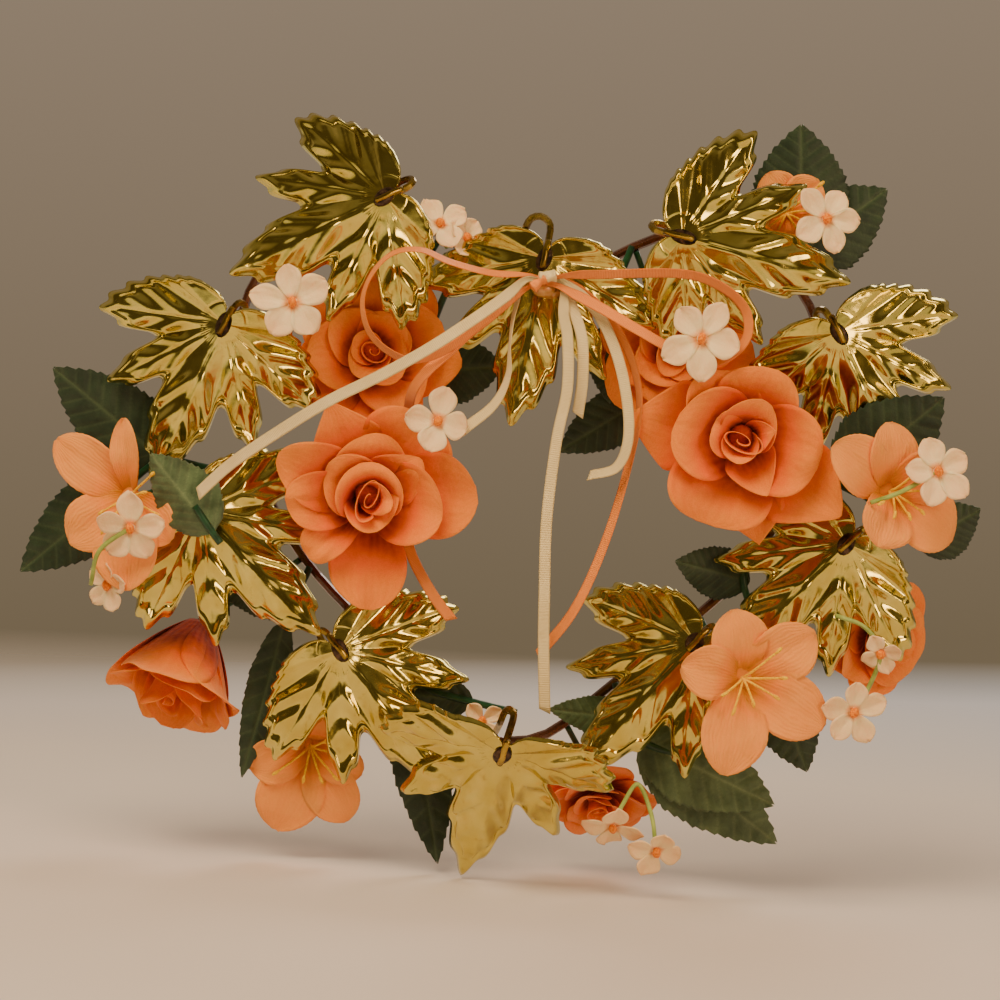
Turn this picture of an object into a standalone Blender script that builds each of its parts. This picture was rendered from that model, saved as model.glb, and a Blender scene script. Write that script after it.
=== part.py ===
"""Harvest door wreath: a heart of lacquered wire carrying stamped brass leaves, silk flowers and a bow.

Everything is laid out in the heart's own frame, in millimetres: X = 0 is the heart's centre line, Z = 0
lies a little below its middle, and the front faces -Y. The empty named wreath carries that frame to the
part's origin, the inside top of the centre stem's loop, which is the eye that the wreath hangs from.
"""
import math

import bmesh
import bpy
import numpy as np
from mathutils import Matrix, Vector

MM = 0.001

# ---- driving dimensions, millimetres and degrees ----
FRAME_WIDTH = 246.0          # between the wire's centre lines at the lobes
FRAME_TOP = 117.0            # height of the lobes' centre line above Z = 0
FRAME_BOTTOM = -101.0        # height of the bottom's centre line
LOBE_RADIUS = 55.0
SIDE_RADIUS = 142.8
BOTTOM_RADIUS = 35.0
CLEFT_SLOPE = 30.0
CLEFT_FILLET = 7.0
WIRE_DIAMETER = 4.0
ROD_DIAMETER = 3.0           # brass stems of the stamped leaves
SPRAY_STEM_DIAMETER = 2.6    # green plastic stems
TWIG_DIAMETER = 1.8          # thin stems of the small blossoms
FIT = 0.4                    # clearance between pieces that touch

GOLD_LENGTH = 70.0           # hub to the tip of the end lobe
GOLD_SHEET = 1.0
GOLD_FOLD = 16.0             # degrees that each half is turned back from the midrib
GOLD_BASE_FOLD = 4.0         # the same for the two lobes beside the hub, which clear the stem
GOLD_DROOP = 0.0008          # fall towards the rim, times the distance from the hub squared
GREEN_SHEET = 1.0
PETAL_SHEET = 1.2
STEM_LOOP_RADIUS = 3.6
STEM_LOOP_TWIST = 55.0       # degrees that a stem's loop is twisted out of the front plane
EYE_LOOP_RADIUS = 5.0        # centre line of the loop that the wreath hangs from
EYE_LOOP_REACH = 17.0
RIBBON_WIDTH = 4.6
RIBBON_SHEET = 0.5
LEAF_TUCK = 3.0              # how far a fabric leaf reaches back over its stem
STEM_SETBACK = 1.8           # how far further back a stem starts, so that its loop clears the leaf
RIBBON_START_SPACING = 15.0   # across the bow, between the ends of the ribbons on its two sides
KNOT_DEPTH = 13.0
KNOT_HEIGHT = 9.0

GOLD_BASE_FROM = 104         # degrees from the midrib
WIRE_SIDES_LEVEL = 2
WIRE_ARC_STEP = 10.0
ROD_SIDES = 6
TWIG_SIDES = 5
ROSE_SEGMENTS = 12

# the layout is drawn for this frame, and spreads with the frame when it is made larger or smaller
LAYOUT_WIDTH = 246.0
LAYOUT_HEIGHT = 218.0

# ---- places: hub or centre (x, y, z), aim of the piece in the front view, tip and side turned forward ----
GOLD_LEAVES = {
    "top_left": ((-63, -33, 120), -150, 3, 4),
    "upper_left": ((-126, -27, 65), -113, -6, -6),
    "left": ((-131, -28.5, -12), -42, 3, -6),
    "lower_left": ((-71, -26, -65), -47, 2, -6),
    "bottom": ((-2, -56, -100), -104, -36, -4),
    "lower_right": ((74, -27, -53), -130, 3, 14),
    "right": ((133, -29, -9), -132, -3, 8),
    "upper_right": ((125, -24, 77), -60, -8, 2),
    "top_right": ((58, -34, 111), -12, 2, 6),
    "centre": ((3, -24, 100), -98, 4, 6),
}
STEM_LOOPS = {               # reach of the loop past the hub, its radius, the side it turns to and its twist
    "top_left": (13, STEM_LOOP_RADIUS, 1, STEM_LOOP_TWIST),
    "upper_left": (11, STEM_LOOP_RADIUS, -1, STEM_LOOP_TWIST),
    "left": (9, STEM_LOOP_RADIUS, 1, STEM_LOOP_TWIST),
    "lower_left": (11, STEM_LOOP_RADIUS, 1, STEM_LOOP_TWIST),
    "bottom": (17, STEM_LOOP_RADIUS, 1, STEM_LOOP_TWIST),
    "lower_right": (10, STEM_LOOP_RADIUS, -1, STEM_LOOP_TWIST),
    "right": (10, STEM_LOOP_RADIUS, -1, STEM_LOOP_TWIST),
    "upper_right": (12, STEM_LOOP_RADIUS, 1, STEM_LOOP_TWIST),
    "top_right": (13, STEM_LOOP_RADIUS, -1, STEM_LOOP_TWIST),
    "centre": (EYE_LOOP_REACH, EYE_LOOP_RADIUS, 1, 0.0),
}
ROSES = {                    # centre, radius, depth, turned down, turned right
    "left": ((-62, -36, -2), 31, 26, 4, 4),
    "upper_left": ((-66, -2, 59), 29, 13, 0, 0),
    "right": ((86, -40, 30), 29, 27, 6, -6),
    "upper_right": ((60, -5, 66), 27, 13, 0, 0),
    "lower_left": ((-140, 4, -82), 24, 44, 64, -16),
    "bottom": ((40, 5, -128), 21, 22, 50, 0),
    "lower_right": ((155, -1, -48), 22, 18, 10, 30),
}
LILIES = {                   # throat, petals (direction, length, width), turned down, turned right
    "left": ((-160, -31, -8), [(145, 38, 20), (95, 32, 11), (-138, 30, 22), (-85, 38, 25), (-40, 26, 20)],
             0, -10),
    "lower_left": ((-82, -5, -108), [(100, 18, 20), (-20, 24, 18), (-62, 36, 22), (-110, 40, 26),
                                     (-160, 27, 20)], 20, 0),
    "lower_right": ((92, -50, -65), [(103, 28, 22), (36, 34, 22), (-28, 38, 24), (-100, 39, 25),
                                     (172, 27, 20)], 0, 10),
    "right": ((148, -42, 13), [(150, 34, 22), (100, 28, 20), (30, 22, 20), (-35, 33, 24), (-110, 24, 22)],
              0, 20),
    "top_right": ((102, -14, 126), [(120, 18, 16), (48, 18, 16), (-24, 16, 14), (-96, 16, 14),
                                    (-168, 18, 16)], 0, 0),
}
BLOSSOMS = {                 # heads: centre, radius, petals, aim, turned down, turned right; then the twig
    "upper_left": ([((-97, -44, 74), 16, 5, 100, 0, 0)], [(-97, -44, 74), (-98, -36, 72), (-100, -30, 66)]),
    "centre_left": ([((-36, -46, 30), 13, 4, 80, 0, 10)], [(-36, -46, 30), (-38, -38, 28), (-42, -26, 28)]),
    "left": ([((-156, -46, -20), 15, 5, 90, 20, 0)], [(-156, -46, -20), (-168, -45, -30), (-172, -37, -44)]),
    "top_right": ([((115, -40, 121), 14, 5, 70, 0, 10)], [(115, -40, 121), (112, -30, 118), (106, -24, 112)]),
    "upper_right": ([((67, -50, 69), 16, 5, 60, 0, 0)], [(67, -50, 69), (66, -42, 74), (62, -38, 82)]),
    "right": ([((164, -50, 22), 14, 5, 110, 0, 10)], [(164, -50, 22), (150, -50, 13), (138, -52, 8)]),
    "lower_right": ([((137, -46, -76), 13, 5, 90, 10, 10), ((147, -42, -52), 9, 4, -60, 30, 0)],
                    [(137, -46, -76), (144, -38, -66), (147, -42, -52), (140, -42, -42), (128, -44, -38)]),
    "bottom": ([((44, -42, -128), 12, 4, 90, 50, 0), ((62, -41, -137), 11, 4, 70, 30, 10)],
               [(62, -41, -137), (60, -32, -124), (54, -30, -112), (48, -34, -120), (44, -42, -128)]),
}
ON_WIRE, INSIDE = "front", "inside"   # where a spray's stem lies against the wire, in place of a depth
SPRAYS = {                   # stem, then leaves: stem point, aim, length, width, tip and side forward
    "left": ([(-112, ON_WIRE, 2), (-132, -8, 6), (-150, -10, 8), (-163, -11, -2)],
             [(2, 143, 61, 33, 4, 0), (3, -137, 60, 31, 4, 0)]),
    "front_left": ([(-120, -44, -24), (-125, -44, -18), (-131, -44, -10)], [(1, 132, 40, 34, 0, 0)]),
    "inner_left": ([(-86, ON_WIRE, -32), (-92, -6, -46), (-96, -8, -58)],
                   [(2, -102, 67, 17, 0, 0), (1, 178, 34, 20, 0, 0)]),
    "upper_inner_left": ([(-30, ON_WIRE, 103), (-38, 2, 84), (-45, 7, 62), (-46, 8, 52)],
                         [(3, 8, 38, 30, 0, 0)]),
    "lower_left": ([(-55, ON_WIRE, -62), (-42, -7, -78), (-18, -9, -84), (3, -8, -88)],
                   [(1, -78, 78, 26, 0, 0), (2, 178, 36, 18, 0, 0)]),
    "lower_right": ([(44, ON_WIRE, -74), (49, -7, -88), (57, -9, -97), (70, -9, -101)],
                    [(2, -22, 61, 34, 6, 0), (2, -34, 72, 34, -5, 0), (1, 176, 35, 16, 0, 0)]),
    "upper_inner_right": ([(40, ON_WIRE, 108), (34, -6, 92), (32, 3, 74), (50, 5, 47)],
                          [(2, -85, 33, 19, 0, 0), (3, -145, 46, 24, 0, 0)]),
    "right": ([(107, -9, -64), (103, -8, -50), (94, -7, -27), (100, INSIDE, -12), (112, ON_WIRE, 12),
               (121, -12, 16), (131, -17, 16), (150, -16, 5), (166, -17, -7)],
              [(0, -66, 47, 30, 0, 0), (2, 168, 32, 22, 3, 0), (6, 44, 56, 38, 12, 0),
               (8, 34, 30, 24, 0, 0)]),
    "top_right": ([(107, ON_WIRE, 101), (109, -6, 110), (109, -8, 118)],
                  [(2, 93, 48, 40, 0, 0), (1, 40, 50, 34, -8, 0)]),
}
RIBBONS = {                  # colour and route
    "cream_tail_left": ("cream", [(-4.5, -38.5, 89), (-14, -41, 80), (-37, -54, 61), (-58, -57, 47),
                                  (-79, -57, 35), (-98, -54, 22), (-117, -48, 8), (-130, -46, -5)]),
    "peach_tail_left": ("peach", [(-4.5, -34, 90), (-14, -35.5, 79), (-31, -40, 61), (-46, -38, 44),
                                  (-49, -20, 28), (-49, -16, 5), (-46, -17, -20), (-36, -24, -38),
                                  (-26, -28, -50)]),
    "cream_loop_left": ("cream", [(-4.5, -32.4, 88), (-8, -33.5, 76), (-9, -37, 62), (-9, -40, 50),
                                  (-14, -41, 38), (-26, -41, 27)]),
    "peach_loop_left": ("peach", [(-4.5, -37, 91), (-19, -40, 91), (-35, -43, 94), (-47, -44, 98),
                                  (-58, -44, 96), (-66, -44, 87), (-69, -43, 75), (-64, -43, 62),
                                  (-50, -43, 54), (-36, -43, 58), (-20, -39, 71), (-4.5, -35.5, 86)]),
    "peach_loop_right": ("peach", [(10.5, -38.5, 92), (25, -41, 93), (57, -44, 95), (73, -46, 91),
                                   (84, -46, 82), (85, -46, 70), (75, -46, 61), (60, -44, 63),
                                   (43, -42, 71), (26, -39, 80), (10.5, -36.6, 87)]),
    "cream_tail_centre": ("cream", [(11, -35.2, 87.5), (12, -36.2, 76), (14, -42, 66), (15, -44, 46),
                                    (12, -44, 25), (10, -42, -7), (11, -41, -39), (12, -40, -59),
                                    (14, -38, -84)]),
    "cream_tail_short": ("cream", [(10.5, -33.8, 89), (16, -35, 78), (20, -38, 66), (21, -39, 50),
                                   (20, -38, 36)]),
    "cream_loop_right": ("cream", [(10.5, -32.6, 90), (24, -34, 80), (33, -35, 65), (39, -37, 46),
                                   (41, -37, 28), (37, -36, 16), (26, -35, 12)]),
    "peach_tail_right": ("peach", [(10.5, -31.4, 91), (26, -32, 81), (39, -32, 64), (45, -31, 44),
                                   (43, -31, 22), (35, -31, -13), (24, -32, -42), (10, -34, -62)]),
}
KNOT_PLACE = (3.0, -35.0, 89.0)

FINISHES = {                 # colour (linear), roughness, metallic
    "bronze_lacquer": ((0.09, 0.035, 0.02), 0.3, 0.7),
    "polished_brass": ((0.62, 0.45, 0.12), 0.12, 1.0),
    "peach_silk": ((0.8, 0.26, 0.1), 0.75, 0.0),
    "pale_peach_silk": ((0.84, 0.38, 0.18), 0.75, 0.0),
    "blossom_silk": ((0.9, 0.68, 0.52), 0.7, 0.0),
    "leaf_silk": ((0.035, 0.06, 0.025), 0.8, 0.0),
    "cream_satin": ((0.78, 0.68, 0.44), 0.45, 0.0),
    "peach_satin": ((0.82, 0.33, 0.15), 0.45, 0.0),
}

WIRE_RADIUS = WIRE_DIAMETER / 2
KNOT_WIDTH = RIBBON_START_SPACING - RIBBON_WIDTH - FIT   # the ribbons' slanting ends stay clear
ROD_RADIUS = ROD_DIAMETER / 2
SPREAD_X = FRAME_WIDTH / LAYOUT_WIDTH
SPREAD_Z = (FRAME_TOP - FRAME_BOTTOM) / LAYOUT_HEIGHT


# ---- places and directions ----
def spot(point):
    """A layout point moved outwards with the frame's width and height."""
    x, y, z = point
    return Vector((x * SPREAD_X, y, z * SPREAD_Z))


def facing(aim, forward, side):
    """Turn for a piece whose X runs along it and whose Z faces out: aimed in the front view, then its tip
    and its left side are turned forward, by degrees."""
    a, f, s = (math.radians(v) for v in (aim, forward, side))
    along = Vector((math.cos(a), 0, math.sin(a)))
    out = Vector((0, -1, 0))
    across = out.cross(along)
    tipped = along * math.cos(f) + out * math.sin(f)
    out = out * math.cos(f) - along * math.sin(f)
    rolled = across * math.cos(s) + out * math.sin(s)
    out = tipped.cross(rolled)
    return Matrix((tipped, rolled, out)).transposed().to_4x4()


def smooth_route(points, steps):
    """Catmull-Rom curve through the points, with the given number of steps between two of them."""
    pts = [np.array(p, dtype=float) for p in points]
    pts = [2 * pts[0] - pts[1]] + pts + [2 * pts[-1] - pts[-2]]
    route = []
    for a, b, c, d in zip(pts, pts[1:], pts[2:], pts[3:]):
        for k in range(steps):
            t = k / steps
            route.append(0.5 * (2 * b + (c - a) * t + (2 * a - 5 * b + 4 * c - d) * t * t
                                + (3 * b - a - 3 * c + d) * t ** 3))
    route.append(pts[-2])
    return [Vector(p) for p in route]


# ---- the heart ----
def arc(centre, radius, start, end):
    """Points of an arc from one angle to another, in degrees, the last one left out."""
    count = max(2, round(abs(end - start) * math.pi / 180 * radius / WIRE_ARC_STEP))
    angles = [math.radians(start + (end - start) * k / count) for k in range(count)]
    return [(centre[0] + radius * math.cos(a), centre[1] + radius * math.sin(a)) for a in angles]


def heart_line():
    """Centre line of the heart as (x, z) points: half of it from cleft to bottom, then its mirror image."""
    lobe = (FRAME_WIDTH / 2 - LOBE_RADIUS, FRAME_TOP - LOBE_RADIUS)
    side = (FRAME_WIDTH / 2 - SIDE_RADIUS, lobe[1])
    bottom = (0.0, FRAME_BOTTOM + BOTTOM_RADIUS)
    slope = math.radians(CLEFT_SLOPE)
    shoulder = math.radians(90 + CLEFT_SLOPE)
    touch = (lobe[0] + LOBE_RADIUS * math.cos(shoulder), lobe[1] + LOBE_RADIUS * math.sin(shoulder))
    corner = touch[1] - touch[0] * math.tan(slope)
    fillet = (0.0, corner + CLEFT_FILLET / math.cos(slope))
    apart = Vector((side[0] - bottom[0], side[1] - bottom[1]))
    lean = math.degrees(math.atan2(apart.y, apart.x)
                        - math.acos((BOTTOM_RADIUS - SIDE_RADIUS) / apart.length))
    half = arc(fillet, CLEFT_FILLET, -90, -90 + CLEFT_SLOPE)
    straight = CLEFT_FILLET * math.sin(slope)
    half.append((straight, corner + straight * math.tan(slope)))
    half += arc(lobe, LOBE_RADIUS, 90 + CLEFT_SLOPE, 0)
    half += arc(side, SIDE_RADIUS, 0, lean)
    half.append((side[0] + SIDE_RADIUS * math.cos(math.radians(lean)),
                 side[1] + SIDE_RADIUS * math.sin(math.radians(lean))))
    half += arc(bottom, BOTTOM_RADIUS, lean, -90)
    half.append((0.0, FRAME_BOTTOM))
    return half + [(-x, z) for x, z in reversed(half[1:-1])]


HEART = heart_line()


def on_wire(point, radius, where=ON_WIRE):
    """Place nearest to the (x, z) point where a round stem lies on the wire's front, or beside it inside."""
    nearest, inward, target = None, None, Vector(point)
    for (ax, az), (bx, bz) in zip(HEART, HEART[1:] + HEART[:1]):
        a, b = Vector((ax, az)), Vector((bx, bz))
        t = max(0.0, min(1.0, (target - a).dot(b - a) / (b - a).length_squared))
        near = a + (b - a) * t
        if nearest is None or (near - target).length < (nearest - target).length:
            nearest, inward = near, Vector((bz - az, ax - bx)).normalized()
    gap = WIRE_RADIUS + FIT + radius
    if where == INSIDE:
        nearest = nearest + inward * gap
    return Vector((nearest.x, -gap, nearest.y))


# ---- solids ----
def finish_of(name):
    """Principled material with the named finish."""
    material = bpy.data.materials.get(name)
    if material is None:
        colour, roughness, metallic = FINISHES[name]
        material = bpy.data.materials.new(name)
        material.use_nodes = True
        shader = material.node_tree.nodes["Principled BSDF"]
        shader.inputs["Base Color"].default_value = (*colour, 1)
        shader.inputs["Roughness"].default_value = roughness
        shader.inputs["Metallic"].default_value = metallic
    return material


def add(name, data, finish, place=(0, 0, 0), turn=None):
    """Object from mesh or curve data, placed and turned in the heart's frame under the wreath empty."""
    thing = bpy.data.objects.new(name, data)
    bpy.context.scene.collection.objects.link(thing)
    data.materials.append(finish_of(finish))
    thing.parent = bpy.data.objects["wreath"]
    turned = turn if turn is not None else Matrix.Identity(4)
    thing.matrix_local = Matrix.Translation(Vector(place) * MM) @ turned
    return thing


def mesh_from(name, vertices, faces, smooth=False):
    """Mesh from millimetre vertices, with its faces turned outwards."""
    mesh = bpy.data.meshes.new(name)
    mesh.from_pydata([Vector(v) * MM for v in vertices], [], faces)
    shape = bmesh.new()
    shape.from_mesh(mesh)
    bmesh.ops.recalc_face_normals(shape, faces=shape.faces)
    bmesh.ops.triangulate(shape, faces=shape.faces)
    shape.to_mesh(mesh)
    shape.free()
    if smooth:
        mesh.shade_smooth()
    return mesh


def fan_plate(name, rim, hub, sheet):
    """Thin plate between a hub and a rim of (x, y, z) points, its front and back half a sheet each way."""
    count = len(rim)
    front = [(x, y, z + sheet / 2) for x, y, z in [hub] + rim]
    back = [(x, y, z - sheet / 2) for x, y, z in [hub] + rim]
    base = count + 1
    faces = []
    for k in range(count):
        a, b = 1 + k, 1 + (k + 1) % count
        faces += [(0, a, b), (base, base + b, base + a), (a, base + a, base + b, b)]
    return mesh_from(name, front + back, faces)


def sweep(name, route, section, sides_at):
    """Closed solid carried along a route: section gives (across, out) offsets, sides_at a station's axes."""
    vertices, faces, count = [], [], len(section)
    for k, point in enumerate(route):
        across, out = sides_at(k)
        vertices += [point + across * u + out * v for u, v in section]
    for k in range(len(route) - 1):
        for j in range(count):
            a, b = k * count + j, k * count + (j + 1) % count
            faces.append((a, b, b + count, a + count))
    faces += [tuple(range(count)), tuple((len(route) - 1) * count + j for j in reversed(range(count)))]
    return mesh_from(name, vertices, faces, smooth=count > 4)


def tangents(route):
    """Unit direction of travel at each point of a route."""
    ends = [(route[max(k - 1, 0)], route[min(k + 1, len(route) - 1)]) for k in range(len(route))]
    return [(b - a).normalized() for a, b in ends]


def tube(name, route, radius, sides):
    """Round stem along a route, its section carried along without twisting."""
    ways = tangents(route)
    across = [ways[0].orthogonal().normalized()]
    for way in ways[1:]:
        across.append((across[-1] - way * across[-1].dot(way)).normalized())
    angles = [2 * math.pi * k / sides for k in range(sides)]
    ring = [(radius * math.cos(a), radius * math.sin(a)) for a in angles]
    return sweep(name, route, ring, lambda k: (across[k], ways[k].cross(across[k])))


def joined(thing, others):
    """Union of a piece with its branches, which stay as hidden guides."""
    for other in others:
        other.hide_render = True
        other.display_type = "WIRE"
        union = thing.modifiers.new(other.name, "BOOLEAN")
        union.operation = "UNION"
        union.object = other
    return thing


# ---- sub-parts ----
def heart_frame():
    """One rod of lacquered wire bent to a heart."""
    curve = bpy.data.curves.new("heart_frame", "CURVE")
    curve.dimensions = "3D"
    curve.bevel_depth = WIRE_RADIUS * MM
    curve.bevel_resolution = WIRE_SIDES_LEVEL
    line = curve.splines.new("POLY")
    line.points.add(len(HEART) - 1)
    for point, (x, z) in zip(line.points, HEART):
        point.co = (x * MM, 0, z * MM, 1)
    line.use_cyclic_u = True
    add("heart_frame", curve, "bronze_lacquer")


def gold_outline():
    """Rim of a maple leaf: five lobes with sinuses between them, folded back from its midrib."""
    half = [(0, 1.0), (9, 0.8), (17, 0.64), (23, 0.54), (31, 0.66), (38, 0.76), (46, 0.66), (54, 0.45),
            (63, 0.63), (72, 0.76), (85, 0.66), (104, 0.42), (132, 0.24), (162, 0.1)]
    turns = half + [(-a, r) for a, r in reversed(half[1:])]
    rim = []
    for angle, share in turns:
        reach = share * GOLD_LENGTH
        fold = math.radians(GOLD_FOLD if abs(angle) < GOLD_BASE_FROM else GOLD_BASE_FOLD)
        x, y = reach * math.cos(math.radians(angle)), reach * math.sin(math.radians(angle))
        rim.append((x, y * math.cos(fold), -abs(y) * math.sin(fold) - GOLD_DROOP * reach * reach))
    return rim


def gold_leaf(name, hub, aim, forward, side):
    """Stamped maple leaf, a thin folded plate."""
    mesh = fan_plate(name, gold_outline(), (0, 0, 0), GOLD_SHEET)
    add(name, mesh, "polished_brass", spot(hub), facing(aim, forward, side))


def stem_axes(aim, turn, twist):
    """Directions out past a leaf's hub and across its stem's loop, which is twisted towards the back."""
    out = -Vector((math.cos(math.radians(aim)), 0, math.sin(math.radians(aim))))
    side = Vector((-out.z, 0, out.x)) * turn
    return out, side * math.cos(math.radians(twist)) + Vector((0, math.sin(math.radians(twist)), 0))


def loop_centre(hub, aim, reach, radius, turn, twist):
    """Where a stem starts behind its leaf's hub, and the centre of its loop."""
    out, side = stem_axes(aim, turn, twist)
    start = spot(hub) + Vector((0, GOLD_SHEET / 2 + FIT + ROD_RADIUS + STEM_SETBACK, 0))
    return start, start + out * (reach - radius) + side * radius


def leaf_stem(name, hub, aim, reach, radius, turn, twist):
    """Brass rod from the back of a leaf's hub, out past it, round a loop and back to the wire."""
    out, side = stem_axes(aim, turn, twist)
    start, centre = loop_centre(hub, aim, reach, radius, turn, twist)
    loop = [centre - side * radius * math.cos(a) + out * radius * math.sin(a)
            for a in (0, math.pi / 4, math.pi / 2, math.pi * 3 / 4, math.pi)]
    landing = centre + side * radius - out * reach
    foot = on_wire((landing.x, landing.z), ROD_RADIUS)
    back = loop[-1] - out * 3 + Vector((0, 3, 0))
    route = smooth_route([start - out * 1.5, start + out * 3] + loop + [back, (back + foot) / 2, foot], 2)
    add(name, tube(name, route, ROD_RADIUS, ROD_SIDES), "polished_brass")


def rose(name, centre, radius, depth, down, right):
    """Full-blown silk rose as a turned body, from its calyx to the crown of its petals."""
    shares = [(0.0, -0.5), (0.3, -0.48), (0.72, -0.28), (1.0, 0.0), (0.9, 0.26), (0.5, 0.46), (0.0, 0.5)]
    vertices, faces = [(0, 0, shares[0][1] * depth)], []
    for share, height in shares[1:-1]:
        for k in range(ROSE_SEGMENTS):
            a = 2 * math.pi * k / ROSE_SEGMENTS
            vertices.append((share * radius * math.cos(a), share * radius * math.sin(a), height * depth))
    vertices.append((0, 0, shares[-1][1] * depth))
    rows, last = len(shares) - 2, len(vertices) - 1
    for k in range(ROSE_SEGMENTS):
        n = (k + 1) % ROSE_SEGMENTS
        faces += [(0, 1 + n, 1 + k), (last, last - ROSE_SEGMENTS + k, last - ROSE_SEGMENTS + n)]
        for row in range(rows - 1):
            low, high = 1 + row * ROSE_SEGMENTS, 1 + (row + 1) * ROSE_SEGMENTS
            faces.append((low + k, low + n, high + n, high + k))
    mesh = mesh_from(name, vertices, faces, smooth=True)
    add(name, mesh, "peach_silk", spot(centre), facing(90, down, right))


def petal_rim(petals, cup):
    """Rim of a flower seen from the front: each petal is a rounded lozenge, its tip lifted by cup."""
    rim = []
    for direction, length, width in petals:
        a = math.radians(direction - 90)
        for along, across in ((0.3, -0.2), (0.7, -0.5), (1.0, 0.0), (0.7, 0.5), (0.3, 0.2)):
            x, y = along * length, across * width
            lift = cup * along
            rim.append((x * math.cos(a) - y * math.sin(a), x * math.sin(a) + y * math.cos(a), lift))
    return sorted(rim, key=lambda p: math.atan2(p[1], p[0]))


def lily(name, throat, petals, down, right):
    """Open lily of five silk petals on a shallow throat."""
    mesh = fan_plate(name, petal_rim(petals, 6.0), (0, 0, 0), PETAL_SHEET)
    add(name, mesh, "pale_peach_silk", spot(throat), facing(90, down, right))


def blossoms(name, heads, twig):
    """Small four- or five-petalled blossoms joined to their thin twig."""
    route = smooth_route([spot(p) for p in twig], 2)
    stem = add(name, tube(name, route, TWIG_DIAMETER / 2, TWIG_SIDES), "blossom_silk")
    guides = []
    for number, (centre, radius, count, aim, down, right) in enumerate(heads):
        petals = [(aim + 360 * k / count, radius, radius * 0.75) for k in range(count)]
        label = f"{name}_head_{number}"
        mesh = fan_plate(label, petal_rim(petals, 1.5), (0, 0, 0), PETAL_SHEET)
        guides.append(add(label, mesh, "blossom_silk", spot(centre), facing(90, down, right)))
    joined(stem, guides)


def leaf_rim(length, width):
    """Rim of a pointed oval leaf from its foot to its tip and back, folded a little along the midrib."""
    half = [(0.02, 0.06), (0.14, 0.34), (0.34, 0.5), (0.56, 0.46), (0.78, 0.28)]
    turns = half + [(1.0, 0.0)] + [(u, -v) for u, v in reversed(half)]
    return [(u * length, v * width, -0.12 * abs(v) * width) for u, v in turns]


def spray(name, stem, leaves):
    """Green plastic stem lying on the wire, with its fabric leaves joined to it."""
    radius = SPRAY_STEM_DIAMETER / 2
    points = [on_wire((x * SPREAD_X, z * SPREAD_Z), radius, y) if y in (ON_WIRE, INSIDE) else spot((x, y, z))
              for x, y, z in stem]
    route = smooth_route(points, 2)
    branch = add(name, tube(name, route, radius, ROD_SIDES), "leaf_silk")
    guides = []
    for number, (start, aim, length, width, forward, side) in enumerate(leaves):
        label = f"{name}_leaf_{number}"
        turn = facing(aim, forward, side)
        foot = points[start] - turn.col[0].to_3d() * LEAF_TUCK
        mesh = fan_plate(label, leaf_rim(length, width), (0.3 * length, 0, 0), GREEN_SHEET)
        guides.append(add(label, mesh, "leaf_silk", foot, turn))
    joined(branch, guides)


def ribbon(name, colour, points):
    """Satin ribbon as a thin strip along its route, its flat side towards the front."""
    route = smooth_route(points, 2)
    front = Vector((0, -1, 0))
    ways = tangents(route)
    across = [front.cross(way).normalized() for way in ways]
    w, t = RIBBON_WIDTH / 2, RIBBON_SHEET / 2
    mesh = sweep(name, route, [(-w, -t), (w, -t), (w, t), (-w, t)],
                 lambda k: (across[k], ways[k].cross(across[k])))
    add(name, mesh, colour + "_satin")


def bow_knot():
    """Knot of the two ribbons, a rounded block that they leave on both sides."""
    mesh = bpy.data.meshes.new("bow_knot")
    shape = bmesh.new()
    bmesh.ops.create_cube(shape, size=MM, matrix=Matrix.Diagonal((KNOT_WIDTH, KNOT_DEPTH, KNOT_HEIGHT, 1)))
    shape.to_mesh(mesh)
    shape.free()
    knot = add("bow_knot", mesh, "cream_satin", KNOT_PLACE)
    round_off = knot.modifiers.new("round_off", "BEVEL")
    round_off.width = 1.5 * MM
    round_off.segments = 2


def eye_place():
    """Inside top of the centre stem's loop, in the heart's frame."""
    centre = loop_centre(*GOLD_LEAVES["centre"][:2], *STEM_LOOPS["centre"])[1]
    return centre + Vector((0, 0, EYE_LOOP_RADIUS - ROD_RADIUS))


def build():
    for thing in list(bpy.data.objects):
        bpy.data.objects.remove(thing)
    wreath = bpy.data.objects.new("wreath", None)
    bpy.context.scene.collection.objects.link(wreath)
    wreath.location = -eye_place() * MM

    heart_frame()
    for name, place in GOLD_LEAVES.items():
        gold_leaf(f"gold_leaf_{name}", *place)
        leaf_stem(f"leaf_stem_{name}", *place[:2], *STEM_LOOPS[name])
    for name, flower in ROSES.items():
        rose(f"rose_{name}", *flower)
    for name, flower in LILIES.items():
        lily(f"lily_{name}", *flower)
    for name, sprig in BLOSSOMS.items():
        blossoms(f"blossoms_{name}", *sprig)
    for name, branch in SPRAYS.items():
        spray(f"leaf_spray_{name}", *branch)
    for name, band in RIBBONS.items():
        ribbon(f"ribbon_{name}", *band)
    bow_knot()


build()
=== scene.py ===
"""Looks of the harvest door wreath: brass maple leaves, silk flowers and satin ribbon on a wire heart.

Places are in millimetres in the heart's own frame: X = 0 is its centre line, Z = 0 lies a little below its
middle, and the front faces -Y. make() carries them into the row frame.
"""
import math

import bpy
import numpy as np
from mathutils import Matrix, Vector


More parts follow.
